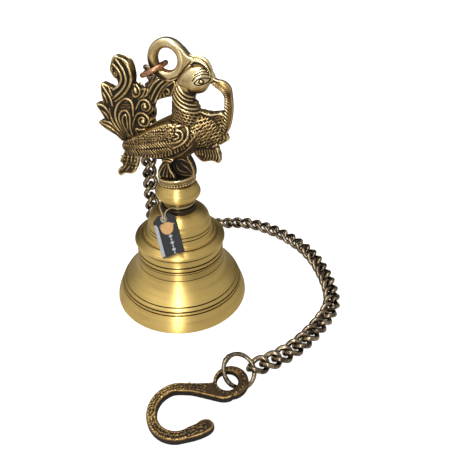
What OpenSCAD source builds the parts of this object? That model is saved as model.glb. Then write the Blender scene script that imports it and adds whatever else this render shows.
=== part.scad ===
// Hanging temple bell: a turned brass bell under a cast peacock with a crest loop, a clapper
// inside, a curb chain on the loop and a cast ceiling hook at the chain's far end.
// Origin: centre of the bell's mouth, on the surface it stands on. +Z up, the bird faces +X.

/* [Bell] */
// Diameter across the mouth
mouth_d = 100; // [97:1:106]
// Wall thickness of the cast bell
wall = 3.4; // [2.6:0.1:3.8]
// Diameter of the waist, under the flange
waist_d = 62; // [60:0.5:63]
// Diameter of the shoulder flange
flange_d = 65.6; // [64:0.2:66]
// Diameter of the dome, above the flange
dome_d = 45.2; // [44:0.2:47]
// Height of the bell's crown
crown_z = 74.6; // [74.2:0.1:75]

/* [Pedestal] */
// Diameter of the bun-shaped pedestal
bun_d = 31.4; // [30.6:0.2:33]
// Diameter of the collar between crown and bun
collar_d = 21.4; // [20.4:0.2:22.4]
// Diameter of the bird's base plate
plate_d = 26.6; // [26:0.2:28]
// Diameter of the beads round the base plate
bead_d = 1.7; // [1.2:0.1:2]

/* [Bird] */
// Depth of the flat tail and foliage castings
leaf_depth = 9; // [7:0.5:10]
// Depth of the crest loop
loop_depth = 8; // [6:0.5:9]
// Thickness of the crest loop's band
loop_band = 5.6; // [5:0.1:6]
// Diameter of the garland that falls from the beak
garland_d = 5; // [4:0.2:5.4]

/* [Clapper] */
// Diameter of the clapper ball
ball_d = 17; // [14:0.5:17]
// Diameter of the clapper rod
rod_d = 3.2; // [2.6:0.1:3.6]
// Diameter of the wire of the clapper's eyes
eye_wire_d = 3; // [2.6:0.1:3]

/* [Chain] */
// Diameter of the chain wire
link_wire_d = 2.8; // [2.4:0.1:2.8]
// Distance from one link to the next
link_pitch = 9.4; // [9.2:0.1:9.8]
// Clear width inside a link
link_gap = 5.6; // [5.2:0.1:6]
// Slack between neighbouring links
link_slack = 0.8; // [0.7:0.05:1]
// Wire of the ring in the crest loop
crown_ring_wire = 3; // [2.6:0.1:3]
// Wire of the ring in the hook's eye
hook_ring_wire = 2.2; // [1.8:0.1:2.2]

/* [Hook] */
// Thickness of the cast hook
hook_t = 5; // [4:0.2:5]
// Clear diameter of the hook's throat
throat_d = 25; // [23:0.5:26]
// Width of the hook's band
hook_w = 6; // [5:0.2:6.6]
// Diameter of the hole in the hook's eye
eye_hole_d = 13.2; // [12.8:0.1:13.4]

/* [Tag] */
// Width of the card tag
tag_w = 16.5; // [12:0.5:17]
// Length of the card tag
tag_l = 28; // [22:0.5:28]
// Thickness of the card tag
tag_t = 0.9; // [0.6:0.1:1]

/* [Hidden] */
$fn = 64;

fit = 0.05;                  // running clearance on a radius
gap = 0.15;                  // free gap between loose pieces
mouth_r = mouth_d / 2;
waist_r = waist_d / 2;
flange_r = flange_d / 2;
dome_r = dome_d / 2;
collar_r = collar_d / 2;
bun_r = bun_d / 2;
plate_r = plate_d / 2;

// Heights up the stack
lip_z = 13;                  // lowest groove above the lip
bead_z = 18.1;               // highest groove above the lip
skirt_z = 33.4;              // where the skirt meets the waist
flange_z = 50;               // underside of the flange
step_z = 55.6;               // foot of the dome's step
dome_z = 64;                 // where the dome starts to close
neck_z = crown_z + 3.7;      // top of the dark neck washer
bun_z = 88.2;                // widest height of the bun
plate_z = 95;                // underside of the base plate
perch_z = 101;               // top of the base plate

// Clapper hangers, from the crown down
stud_d = 8;
eye_r = 4;                   // centre radius of the hanger's and the rod's eyes
link_eye_r = 5.4;            // centre radius of the link between them
eye_z = 59.2;
hang = (eye_wire_d + eye_wire_d) / 2 + 0.1;
link_pin_z = eye_z - eye_r;                    // wire that the link swings on
link_z = link_pin_z + hang - link_eye_r;
rod_pin_z = link_z - link_eye_r;               // wire that the clapper swings on
rod_eye_z = rod_pin_z + hang - eye_r;
ball_z = 12.5;

// Crest loop and the ring through it
loop_x = -2.2;
loop_z = 174;
loop_r = 9.1;                // centre radius of the band
ring_dir = 215;              // where round the loop the ring sits
ring_r = 8;                  // centre radius of the crown ring
ring_c = [-11.7, 1.5, 167.4];

// Hook, hook ring
hook_at = [56, -82.6, 3.4];  // centre of the eye's hole, underside
hook_turn = 20;
hook_lift = 3.9;             // the eye lies on its ring, so the hook leans
hook_ring_at = [61, -73, 6.6];
hook_ring_r = 10.4;
hook_ring_turn = 145.5;
hook_ring_tilt = 31.5;

// Tag
tag_turn = -95;              // azimuth of the side of the dome it lies on
tag_lean = 57;
tag_spin = 27;
tag_hole = 3.2;
tag_pin = [18, -2.8, 74.6];  // the tag's hole: out from the axis, sideways, up

// Route of the chain, through the middles of its links: from the crown ring down behind the
// bell, out over the flare, and round on the floor to the hook ring
CHAIN_ROUTE = [[-17.5, 8.4, 161.3], [-20, 13.2, 153.5], [-23, 17, 143], [-25.5, 19.6, 132],
    [-28, 21.4, 118], [-29.5, 22.4, 102], [-30, 22.7, 84], [-30, 22.7, 66], [-30.4, 23.1, 50],
    [-31.8, 24.6, 38], [-34.6, 27.3, 28], [-38.2, 31.4, 19], [-41.4, 37.4, 12],
    [-42.4, 45.2, 7.4], [-40.4, 53.6, 5.1], [-35.5, 61.5, 4.5], [-28, 69.4, 4.5],
    [-17.5, 77.5, 4.5], [-4.5, 85.5, 4.5], [10, 92.5, 4.5], [25, 97.5, 4.5], [39, 98.5, 4.5],
    [53, 95.5, 4.5], [67, 89.5, 4.5], [80, 81, 4.5], [92, 70, 4.5], [101, 57.5, 4.5],
    [108, 43.5, 4.5], [113.5, 28, 4.5], [116.5, 13, 4.5], [116, 1, 4.5], [112, -11, 4.5],
    [105, -26, 4.5], [95.5, -41.5, 4.5], [86.5, -52, 4.5], [79, -59, 4.5],
    [71.9, -64.5, 4.5]];
DROP_LINKS = 17;             // links that hang before the chain reaches the flare

// Route of the tag's string: from the knot up to the neck, once round it and back
STRING_R = collar_r + 0.95;
STRING_Z = 80.4;
string_d = 0.9;

// ---------- functions ----------
function unit(v) = v / norm(v);
function blend(a, b, c, d, t) = 0.5 * (2 * b + (c - a) * t + (2 * a - 5 * b + 4 * c - d) * t * t
    + (3 * b - a - 3 * c + d) * t * t * t);
function closed_curve(p, n = 3) = let (m = len(p))
    [for (i = [0:m - 1], k = [0:n - 1])
        blend(p[(i + m - 1) % m], p[i], p[(i + 1) % m], p[(i + 2) % m], k / n)];
function open_curve(p, n = 4) = let (m = len(p) - 1)
    concat([for (i = [0:m - 1], k = [0:n - 1])
        blend(p[max(i - 1, 0)], p[i], p[i + 1], p[min(i + 2, m)], k / n)], [p[m]]);
// Each point with its distance along the line in front of it
function measured(p) = [for (i = 0, s = 0; i < len(p);
    s = s + (i + 1 < len(p) ? norm(p[i + 1] - p[i]) : 0), i = i + 1) [s, p[i]]];
function column(table, k) = [for (row = table) [row[0], row[1][k]]];
function arc(cx, cz, rx, rz, a, b, n) =
    [for (i = [0:n]) let (t = a + (b - a) * i / n) [cx + rx * cos(t), cz + rz * sin(t)]];
// A groove of the given half width and depth cut into a turned profile
function groove(r, z, h = 0.35, d = 0.5) = [[r, z - h], [r - d, z], [r, z + h]];

// ---------- shared shapes ----------
module torus(r, wire) {
    rotate_extrude() translate([r, 0]) circle(d = wire, $fn = 32);
}

// A casting cut from an outline in the XZ plane, centred on the plane
module leaf(outline, depth) {
    rotate([90, 0, 0]) linear_extrude(height = depth, center = true) polygon(outline);
}

// A closed body through stations of [x, z, half height, half width, y], ellipses across its line
module loft(stations, sides = 28) {
    s = open_curve(stations, 2);
    n = len(s);
    ring = [for (i = [0:n - 1]) let (
        d = unit([s[min(i + 1, n - 1)].x - s[max(i - 1, 0)].x,
                  s[min(i + 1, n - 1)].y - s[max(i - 1, 0)].y]))
        for (k = [0:sides - 1]) let (a = 360 * k / sides)
            [s[i].x - d.y * s[i][2] * cos(a), s[i][4] + s[i][3] * sin(a),
             s[i].y + d.x * s[i][2] * cos(a)]];
    side = [for (i = [0:n - 2], k = [0:sides - 1]) let (j = (k + 1) % sides)
        each [[i * sides + k, i * sides + j, (i + 1) * sides + j],
              [i * sides + k, (i + 1) * sides + j, (i + 1) * sides + k]]];
    caps = [[for (k = [sides - 1:-1:0]) k], [for (k = [0:sides - 1]) (n - 1) * sides + k]];
    polyhedron(ring, concat(side, caps));
}

// A round tube through points, its rings kept from twisting by a fixed reference direction
module tube(line, d, sides = 8, up = [0, 0, 1]) {
    n = len(line);
    ring = [for (i = [0:n - 1]) let (
        t = unit(line[min(i + 1, n - 1)] - line[max(i - 1, 0)]),
        u = unit(cross(t, up)), v = cross(t, u))
        for (k = [0:sides - 1]) let (a = 360 * k / sides)
            line[i] + d / 2 * (u * cos(a) + v * sin(a))];
    side = [for (i = [0:n - 2], k = [0:sides - 1]) let (j = (k + 1) % sides)
        each [[i * sides + k, (i + 1) * sides + j, i * sides + j],
              [i * sides + k, (i + 1) * sides + k, (i + 1) * sides + j]]];
    caps = [[for (k = [0:sides - 1]) k], [for (k = [sides - 1:-1:0]) (n - 1) * sides + k]];
    polyhedron(ring, concat(side, caps));
}

// ---------- bell ----------
bell_outside = concat(
    [[mouth_r - 3.4, 0], [mouth_r - 0.6, 0]],
    arc(mouth_r - 0.8, 0.9, 0.8, 0.9, -60, 20, 4),
    [[mouth_r - 0.4, 3], [mouth_r - 1.3, 6], [mouth_r - 2.6, 9], [mouth_r - 3.9, 11.6]],
    groove(mouth_r - 4.4, lip_z), groove(mouth_r - 5.3, lip_z + 2),
    [[mouth_r - 6.3, bead_z - 1.2]], groove(mouth_r - 7.3, bead_z),
    [for (i = [0:8]) let (t = i / 8)
        [waist_r + 1.7 + (mouth_r - 7.6 - waist_r - 1.7) * pow(1 - t, 1.7),
         bead_z + 0.7 + (skirt_z - bead_z - 1.3) * t]],
    groove(waist_r + 1.6, skirt_z, 0.3, 0.35),
    groove(waist_r + 0.3, 39.6), groove(waist_r + 0.2, 43.5),
    [[waist_r, flange_z - 1], [flange_r - 1, flange_z]],
    arc(flange_r - 1.4, flange_z + 1.6, 1.4, 1.6, -60, 70, 6),
    [[dome_r + 3.8, step_z - 0.4], [dome_r + 3.2, step_z], [dome_r + 3.2, step_z + 1.2],
     [dome_r + 1.6, step_z + 2.2], [dome_r + 0.6, step_z + 3.6]],
    groove(dome_r + 0.3, 60.4, 0.3, 0.4), groove(dome_r + 0.1, 62.8, 0.3, 0.4),
    [[dome_r, dome_z], [dome_r - 0.5, dome_z + 2], [dome_r - 1.5, dome_z + 4]],
    arc(dome_r - 9.8, dome_z + 0.6, 9.4, crown_z - dome_z - 0.6, 28, 90, 9));
bell_inside = [[mouth_r - 3.9, 0], [mouth_r - 4.6 - wall / 2, 6], [mouth_r - 5.6 - wall, 13],
    [waist_r + 8 - wall, 20], [waist_r + 3.4 - wall, 26], [waist_r + 1 - wall, 33],
    [waist_r - wall, 40], [waist_r - wall, 49], [dome_r + 1 - wall, 56],
    [dome_r - wall, 60], [dome_r - wall, dome_z], [dome_r - 2 - wall, crown_z - wall - 3.4],
    [dome_r - 5 - wall, crown_z - wall - 1], [dome_r - 9 - wall, crown_z - wall]];

module bell_body() {
    color("#b59a5c") difference() {
        rotate_extrude($fn = 128)
            polygon(concat(bell_outside, [[0, crown_z], [0, crown_z - wall]],
                [for (i = [len(bell_inside) - 1:-1:0]) bell_inside[i]]));
        cylinder(h = 100, d = stud_d + 2 * fit);
    }
}

module crown_washer() {
    color("#a88d52") translate([0, 0, crown_z - wall - 1.5]) difference() {
        cylinder(h = 1.5, d = 18);
        translate([0, 0, -1]) cylinder(h = 4, d = stud_d + 2 * fit);
    }
}

module crown_nut() {
    color("#a88d52") translate([0, 0, crown_z - wall - 7.5]) difference() {
        cylinder(h = 6, d = 15, $fn = 6);
        translate([0, 0, -1]) cylinder(h = 9, d = stud_d + 2 * fit);
    }
}

// Threaded rod that clamps bell, pedestal and bird together
module crown_stud() {
    color("#8d7a4c") translate([0, 0, eye_z + eye_r + 0.5])
        cylinder(h = plate_z + 3 - eye_z - eye_r - 0.5, d = stud_d);
}

// ---------- clapper ----------
module clapper_eye() {
    color("#8d7a4c") difference() {
        union() {
            translate([0, 0, eye_z]) rotate([90, 0, 0]) torus(eye_r, eye_wire_d);
            translate([0, 0, eye_z + eye_r - 1]) cylinder(h = 1.5, d = 6);
        }
        translate([0, 0, eye_z + eye_r + 0.5]) cylinder(h = 5, d = 20);
    }
}

module clapper_link() {
    color("#7c6a40") translate([0, 0, link_z]) rotate([0, 90, 0]) torus(link_eye_r, eye_wire_d);
}

module clapper_rod() {
    color("#7c6a40") union() {
        translate([0, 0, rod_eye_z]) rotate([90, 0, 0]) torus(eye_r, eye_wire_d);
        translate([0, 0, 3]) cylinder(h = rod_eye_z - eye_r - 3.5, d = rod_d);
        translate([0, 0, 3]) sphere(d = rod_d);
        translate([0, 0, rod_eye_z - eye_r - 3.5])
            cylinder(h = 2.6, r1 = rod_d / 2, r2 = eye_wire_d / 2 + 0.7);
    }
}

module clapper_ball() {
    color("#9a8350") translate([0, 0, ball_z]) difference() {
        union() {
            sphere(d = ball_d);
            translate([0, 0, ball_d / 2 - 1]) cylinder(h = 2.4, d1 = 8, d2 = 5.5);
            translate([0, 0, -ball_d / 2 - 0.8]) cylinder(h = 2, d1 = 5, d2 = 7);
        }
        translate([0, 0, -20]) cylinder(h = 40, d = rod_d);
    }
}

// ---------- neck and pedestal ----------
module neck_washer() {
    color("#3a2f1f") translate([0, 0, crown_z]) difference() {
        cylinder(h = neck_z - crown_z, r = collar_r + 1.7);
        translate([0, 0, -1]) cylinder(h = 5, d = stud_d + 2 * fit);
    }
}

module pedestal() {
    color("#b59a5c") difference() {
        rotate_extrude($fn = 96) polygon(concat([[0, neck_z], [collar_r, neck_z]],
            [[collar_r, 82.2], [collar_r - 0.7, 82.6], [collar_r - 0.7, 83]],
            arc(bun_r - 6.6, bun_z, 6.6, 5.6, -66, 66, 14),
            [[plate_r - 1, plate_z], [0, plate_z]]));
        cylinder(h = 100, d = stud_d + 2 * fit);
    }
}

module base_plate() {
    color("#8f7444") difference() {
        rotate_extrude($fn = 96) polygon([[0, plate_z], [plate_r - 1.5, plate_z],
            [plate_r - 1.5, plate_z + 2.1], [plate_r - 0.6, plate_z + 2.6],
            [plate_r - 0.2, plate_z + 4], [plate_r - 0.7, perch_z], [plate_r - 2.2, perch_z],
            [plate_r - 2.8, perch_z - 0.6], [0, perch_z - 0.6]]);
        cylinder(h = plate_z + 3, d = stud_d + 2 * fit);
    }
}

// Beaded wire soldered into the step under the plate's edge
module plate_beads() {
    beads = 44;
    color("#6d5530") difference() {
        for (i = [0:beads - 1]) rotate([0, 0, 360 * i / beads])
            translate([plate_r - 0.7, 0, plate_z + 1.1]) sphere(d = bead_d + 0.4, $fn = 16);
        cylinder(h = 200, r = plate_r - 1.5, $fn = 96);
        cylinder(h = plate_z, r = 40);
    }
}

// ---------- bird ----------
body_line = [[-37.6, 117.2, 0.6, 0.8, 0], [-35.4, 117.4, 3.4, 4.2, 0], [-30, 118.2, 6, 7.4, 0],
    [-20, 120.4, 9, 10.4, 0], [-8, 123.6, 12.2, 12.4, 0], [3, 127, 13.4, 12.8, 0],
    [11, 130.6, 10.6, 10.6, 0], [16.4, 133.2, 6.6, 7, 0], [19, 134.6, 1, 1.2, 0]];
neck_line = [[6.5, 132, 10.5, 9.5, 0], [8.2, 140, 9.8, 9, 0], [7.9, 146, 9.2, 8.2, 0],
    [6.8, 151.5, 7.6, 7.2, 0], [8.4, 157, 6.6, 6.6, 0], [10, 160, 5.6, 6, 0]];
head_line = [[2.8, 160.2, 0.8, 0.8, 0], [5, 161, 4.2, 4.2, 0], [9.6, 162.4, 7, 6.6, 0],
    [14.6, 163.6, 7.9, 7.4, 0], [19.4, 164.6, 7, 6.4, 0], [23.4, 164.6, 4, 3.6, 0],
    [25.4, 163.6, 1.6, 1.6, 0]];

module body_form() { loft(body_line); }
module neck_form() { loft(neck_line); }
module head_form() { loft(head_line); }
module plate_top() { cylinder(h = perch_z - 0.6, r = plate_r - 3); }
module loop_form() {
    translate([loop_x, 0, loop_z]) rotate([90, 0, 0]) rotate_extrude($fn = 96)
        translate([loop_r, 0]) {
            square([loop_band, loop_depth - loop_band], center = true);
            for (s = [-1, 1]) translate([0, s * (loop_depth - loop_band) / 2])
                circle(d = loop_band, $fn = 32);
        }
}

// Root of the casting between the feet
module perch() {
    color("#4a3b26") difference() {
        leaf(closed_curve([[-5, perch_z - 0.6], [-4, 104], [-1.5, 108], [0, 116], [9, 118],
            [11.5, 110], [10.4, 104], [10.2, perch_z - 0.6]]), 5);
        body_form();
        translate([0, 0, perch_z - 20.6]) cylinder(h = 20, r = 20);
    }
}

module leg(side) {
    difference() {
        union() {
            loft([[-3.5, 113, 4, 3.4, 6.2 * side], [-4.5, 108, 3.4, 3, 6 * side],
                [-5.5, 104.5, 3, 2.8, 6 * side], [-5.6, perch_z - 0.6, 3, 2.8, 6 * side]], 20);
            for (toe = [-1, 0, 1])
                loft([[-5, 102.6, 1.8, 1.6, 6 * side], [-1, 102, 1.4, 1.4, (6 + toe) * side],
                    [2.6, 101.4, 1, 1, (6 + 1.6 * toe) * side]], 12);
        }
        body_form();
        perch();
        translate([0, 0, perch_z - 20.6]) cylinder(h = 20, r = 20);
    }
}
module leg_left() { color("#4a3b26") leg(1); }
module leg_right() { color("#4a3b26") leg(-1); }

module bird_body() { color("#7d6537") body_form(); }

module wing(side) {
    difference() {
        loft([[-34, 119, 1.5, 1, 6 * side], [-30, 119.4, 4.4, 2, 7.4 * side],
            [-20, 121.4, 7.4, 2.8, 10 * side], [-8, 125.2, 9.4, 3, 11.8 * side],
            [1, 128.2, 9.2, 2.8, 11.8 * side], [6.6, 130.4, 6, 2.2, 10.6 * side],
            [9, 131.4, 1.4, 1, 9.6 * side]], 24);
        body_form();
        neck_form();
    }
}
module wing_left() { color("#9c8048") wing(1); }
module wing_right() { color("#9c8048") wing(-1); }

module bird_neck() {
    color("#8a7040") difference() { neck_form(); body_form(); head_form(); }
}

module bird_head() { color("#b59a5c") head_form(); }

module crest_loop() {
    color("#c0a566") difference() {
        union() {
            loop_form();
            leaf(closed_curve([[5.6, 180.6], [10, 176.6], [12.6, 173], [10, 168.5], [4, 164.6],
                [-2, 162.6], [-5, 163.6], [0, 166.4], [4.6, 169.4], [6.6, 174]]), loop_depth - 1);
        }
        translate([loop_x, 0, loop_z]) rotate([90, 0, 0])
            cylinder(h = 20, r = loop_r - loop_band / 2 + 1, center = true);
        head_form();
        neck_form();
    }
    color("#c0a566") intersection() {
        loop_form();
        translate([loop_x, 0, loop_z]) rotate([90, 0, 0])
            cylinder(h = 20, r = loop_r - loop_band / 2 + 1, center = true);
    }
}

module crest_ridge() {
    color("#a88d52") difference() {
        leaf(closed_curve([[11.6, 176.2], [16.6, 176.2], [20.4, 175], [22.6, 171.6],
            [24.6, 166.4], [22, 166], [17, 169.6], [12.2, 170]]), 7);
        head_form();
        crest_loop();
    }
}

garland_line = [[24.4, 162.2], [28.4, 161], [31.8, 159], [33.8, 156], [34.6, 151.8], [34.4, 147.4],
    [33.6, 143.2], [32.2, 139], [30.8, 135], [30, 131]];
module garland_form() {
    tube([for (p = open_curve(garland_line, 2)) [p.x, 0, p.y]], garland_d, 16, [0, 1, 0]);
}
module beak_garland() {
    color("#8a7040") difference() { garland_form(); head_form(); }
}

module garland_leaf() {
    color("#8a7040") difference() {
        leaf(closed_curve([[29.6, 134], [33, 134.6], [35.4, 129.4], [33, 127.2], [29.8, 125.2],
            [28.6, 129.4]]), 5);
        garland_form();
    }
}

module breast_foliage() {
    color("#4f4029") difference() {
        leaf(closed_curve([[14, 144], [21.4, 145.6], [25, 145], [31.6, 146.4], [32.6, 141],
            [30, 134], [28.4, 127.6], [27.6, 123.4], [20, 123], [13, 122.6]]), leaf_depth);
        body_form();
        neck_form();
        garland_form();
        garland_leaf();
    }
}

module breast_tuft() {
    color("#3f3424") difference() {
        leaf(closed_curve([[27.4, 124], [29.6, 119.8], [30.6, 114.2], [28.6, 112.9], [24.8, 114],
            [19, 112.6], [16, 114.2], [12.8, 117.8], [13.6, 123]]), leaf_depth - 1);
        body_form();
        breast_foliage();
    }
}

module rear_tuft() {
    color("#4f4029") difference() {
        leaf(closed_curve([[-34, 115.4], [-38, 110], [-40.2, 105.8], [-38.2, 103], [-42.4, 99.4],
            [-42.6, 96], [-40.6, 94.4], [-37.4, 96.8], [-31.4, 97.4], [-28.6, 101.2],
            [-27, 104.8], [-25.6, 114]]), leaf_depth - 2);
        body_form();
    }
}

module tail_plume() {
    color("#6d5834") difference() {
        leaf(closed_curve([[-36.4, 172.4], [-33.4, 174.4], [-27.6, 172.2], [-24.6, 170.6],
            [-24, 165.6], [-24.2, 160.4], [-24.6, 152], [-25, 142], [-25.6, 132],
            [-25, 124], [-34.6, 120.6], [-39.8, 124.4], [-46.4, 128], [-51, 131.6],
            [-50.8, 133], [-46.4, 134.6], [-48.2, 139.4], [-51, 143.8], [-50.4, 145],
            [-46.2, 145.2], [-46.4, 150], [-46, 156.6], [-44, 157.8], [-37.6, 155.4],
            [-34.6, 157.4], [-34.6, 160.4], [-37, 162.4], [-38.4, 166.6]]), leaf_depth);
        body_form();
    }
}

module tail_scrolls() {
    color("#6d5834") difference() {
        leaf(closed_curve([[-26, 158], [-23.6, 159], [-20.8, 156.4], [-15, 156.4], [-12.8, 147],
            [-12.4, 143.6], [-15.8, 140], [-13.8, 137.4], [-16.4, 134.6], [-19, 130.4],
            [-26, 128]]), leaf_depth - 1);
        tail_plume();
        body_form();
    }
}

module nape_foliage() {
    color("#5d4b2e") difference() {
        leaf(closed_curve([[-15, 158.8], [-8, 163.4], [-1.6, 164.6], [3, 161], [0, 153.6],
            [-3.4, 152.2], [-9.4, 150], [-13.4, 146.8], [-16, 152]]), leaf_depth - 2);
        tail_scrolls();
        neck_form();
        head_form();
        crest_loop();
    }
}

// ---------- crown ring, chain, hook ring ----------
module crown_ring() {
    color("#a8683f") translate(ring_c) rotate([0, 180 - ring_dir, 0])
        torus(ring_r, crown_ring_wire);
}

link_inner = link_pitch + link_slack;
link_r = (link_gap + link_wire_d) / 2;
link_half = (link_inner - link_gap) / 2;
route = measured(open_curve(CHAIN_ROUTE, 6));
route_x = column(route, 0);
route_y = column(route, 1);
route_z = column(route, 2);
chain_length = route[len(route) - 1][0];
chain_links = round(chain_length / link_pitch) + 1;
function on_route(s) = [lookup(s, route_x), lookup(s, route_y), lookup(s, route_z)];

// One welded link: two half rings and two straight wires, along X
module chain_link() {
    for (s = [-1, 1]) {
        translate([s * link_half, 0, 0]) rotate([0, 0, -90 * s])
            rotate_extrude(angle = 180, $fn = 48) translate([link_r, 0])
                circle(d = link_wire_d, $fn = 24);
        translate([-link_half, s * link_r, 0]) rotate([0, 90, 0])
            cylinder(h = 2 * link_half, d = link_wire_d, $fn = 24);
    }
}

// Links from one number to another, each rolled a quarter turn from the one before it
function side_of(i) = (chain_links - 1 - i) % 2 == 0 ? -1 : 1;
module chain(first, last) {
    step = chain_length / (chain_links - 1);
    for (i = [first:last]) {
        s = i * step;
        p = on_route(s);
        t = unit(on_route(min(s + step / 2, chain_length)) - on_route(max(s - step / 2, 0)));
        w = min(max((p.z - 4.4) / 30, 0), 1);
        face = unit([p.x, p.y, 0]) * w + [0, 0, 1 - w];
        n = unit(face - (face * t) * t);
        b = cross(t, n);
        roll = 45 * side_of(i) + 45 * side_of(0) * max(0, 1 - i / 5);
        y = n * sin(roll) + b * cos(roll);
        z = cross(t, y);
        multmatrix([[t.x, y.x, z.x, p.x], [t.y, y.y, z.y, p.y], [t.z, y.z, z.z, p.z],
            [0, 0, 0, 1]]) chain_link();
    }
}
module chain_drop() { color("#4a3d2b") chain(0, DROP_LINKS - 1); }
module chain_run() { color("#4a3d2b") chain(DROP_LINKS, chain_links - 1); }

module hook_ring() {
    color("#5c4b33") translate(hook_ring_at) rotate([0, 0, hook_ring_turn])
        rotate([0, -hook_ring_tilt, 0]) torus(hook_ring_r, hook_ring_wire);
}

// ---------- hook ----------
throat_r = throat_d / 2;
bend_at = [-30.7, -15.2];
module hook_outline() {
    difference() {
        union() {
            translate([2.1, -0.4]) circle(r = 10.9);
            polygon(concat(arc(-12, -16, 18, 18.6, 78, 100, 4),
                [[-30.7, throat_r + hook_w - 15.2], [-30.7, throat_r - 15.2]],
                [[-24, -3.6], [-16, -6], [-8, -9.6], [2, -11.3], [2, 10.5], [-5, 7.6], [-8.6, 4]]));
            difference() {
                translate(bend_at) circle(r = throat_r + hook_w, $fn = 96);
                translate(bend_at + [0.6, 0]) circle(r = throat_r, $fn = 96);
                translate(bend_at) polygon([[0, 0], [0, 40], [60, 40], [60, -34], [16, -9]]);
            }
            translate(bend_at) polygon(closed_curve([[2, -13], [5.6, -13], [9.4, -10.9], [12.3, -8.6],
                [16, -8.8], [18.8, -11.6], [17.8, -14.3], [13, -17], [6.2, -18.2], [2, -18]]));
        }
        circle(d = eye_hole_d);
    }
}
module hook() {
    color("#7a6240") translate(hook_at) rotate([0, 0, hook_turn]) rotate([0, -hook_lift, 0])
        linear_extrude(height = hook_t) hook_outline();
}

// ---------- tag ----------
// Places a child that lies in the tag's plane, its hole at the origin, its length along -Y
module on_tag() {
    rotate([0, 0, tag_turn]) translate(tag_pin) rotate([0, tag_lean, 0])
        rotate([0, 0, 90 + tag_spin]) children();
}
module tag() {
    color("#1d1d22") on_tag() linear_extrude(height = tag_t) difference() {
        polygon([[-tag_w / 2, -tag_l + tag_hole], [tag_w / 2, -tag_l + tag_hole],
            [tag_w / 2, 0], [tag_w / 4, tag_hole], [-tag_w / 4, tag_hole], [-tag_w / 2, 0]]);
        circle(d = tag_hole);
    }
}
module tag_eyelet() {
    color("#b08a4a") on_tag() translate([0, 0, -0.1]) difference() {
        union() {
            cylinder(h = tag_t + 0.2, d = tag_hole);
            translate([0, 0, tag_t + 0.1]) cylinder(h = 0.3, d = tag_hole + 1.6);
        }
        translate([0, 0, -1]) cylinder(h = 5, d = tag_hole - 1.2);
    }
}

string_line = concat([[-4.6, -19.2, 75.7], [-6.4, -17, 79.6], [-9.7, -11.5, STRING_Z]],
    [for (a = [205:-20:-95]) [STRING_R * cos(a), STRING_R * sin(a), STRING_Z]],
    [[-3.2, -16.9, 80.4], [-3.5, -19.3, 75.7]]);
module tag_string() {
    color("#b9a075") tube(open_curve(string_line, 3), string_d, 8, [0.05, 0.08, 1]);
}

bell_body();
crown_washer();
crown_nut();
crown_stud();
clapper_eye();
clapper_link();
clapper_rod();
clapper_ball();
neck_washer();
pedestal();
base_plate();
plate_beads();
perch();
leg_left();
leg_right();
bird_body();
wing_left();
wing_right();
bird_neck();
bird_head();
crest_loop();
crest_ridge();
beak_garland();
garland_leaf();
breast_foliage();
breast_tuft();
tail_plume();
tail_scrolls();
rear_tuft();
nape_foliage();
crown_ring();
chain_drop();
chain_run();
hook_ring();
hook();
tag();
tag_eyelet();
tag_string();
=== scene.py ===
"""Temple bell: what the CAD frame doesn't hold, in Blender. Lengths are in millimetres and scaled once."""
import math
import bpy
import numpy as np
from mathutils import Matrix, Vector
from mathutils.bvhtree import BVHTree
from mathutils.kdtree import KDTree


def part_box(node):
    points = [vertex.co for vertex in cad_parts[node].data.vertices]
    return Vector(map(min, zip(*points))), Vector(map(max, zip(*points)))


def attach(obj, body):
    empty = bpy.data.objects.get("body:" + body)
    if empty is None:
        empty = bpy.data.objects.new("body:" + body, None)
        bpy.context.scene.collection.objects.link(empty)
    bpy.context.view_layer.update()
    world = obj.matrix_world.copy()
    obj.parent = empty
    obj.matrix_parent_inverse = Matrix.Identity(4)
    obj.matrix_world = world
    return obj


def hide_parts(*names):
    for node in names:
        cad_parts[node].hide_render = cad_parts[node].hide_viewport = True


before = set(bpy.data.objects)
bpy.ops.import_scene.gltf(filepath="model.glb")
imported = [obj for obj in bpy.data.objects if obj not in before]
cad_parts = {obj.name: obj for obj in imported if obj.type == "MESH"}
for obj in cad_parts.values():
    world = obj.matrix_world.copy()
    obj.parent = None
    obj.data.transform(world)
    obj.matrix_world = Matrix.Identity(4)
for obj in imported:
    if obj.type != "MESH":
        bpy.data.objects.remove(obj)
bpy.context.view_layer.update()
MM = 0.001
EVEN_WEAR = 0.42  # wear of a surface that is neither a hollow nor a ridge

# ---------------------------------------------------------------- shapes: (points, faces) in mm


def spline(points, steps=6, closed=False):
    """A smooth curve through the points, steps pieces to each span."""
    p = np.array(points, float)
    n = len(p)
    t = np.linspace(0, 1, steps, endpoint=False)[:, None]
    spans = []
    for i in range(n if closed else n - 1):
        if closed:
            a, b, c, d = p[i - 1], p[i], p[(i + 1) % n], p[(i + 2) % n]
        else:
            a, b, c, d = p[max(i - 1, 0)], p[i], p[i + 1], p[min(i + 2, n - 1)]
        spans.append(0.5 * (2 * b + (c - a) * t + (2 * a - 5 * b + 4 * c - d) * t ** 2
                            + (3 * b - a - 3 * c + d) * t ** 3))
    if not closed:
        spans.append(p[-1:])
    return np.vstack(spans)


def unit(v):
    return v / np.maximum(np.linalg.norm(v, axis=-1, keepdims=True), 1e-9)


def grid_faces(rows, cols, closed_rows=False):
    """Quads of a grid of points whose columns close on themselves."""
    last = rows if closed_rows else rows - 1
    i, j = np.meshgrid(np.arange(last), np.arange(cols), indexing="ij")
    k, i2 = (j + 1) % cols, (i + 1) % rows
    quads = np.stack([i * cols + j, i * cols + k, i2 * cols + k, i2 * cols + j], -1)
    return [tuple(q) for q in quads.reshape(-1, 4).tolist()]


def capped(rows, cols):
    """Quads of a tube and its two flat ends."""
    return grid_faces(rows, cols) + [tuple(range(cols))[::-1],
                                     tuple((rows - 1) * cols + k for k in range(cols))]


def round_angles(count):
    return np.linspace(0, 2 * math.pi, count, endpoint=False)


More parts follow.
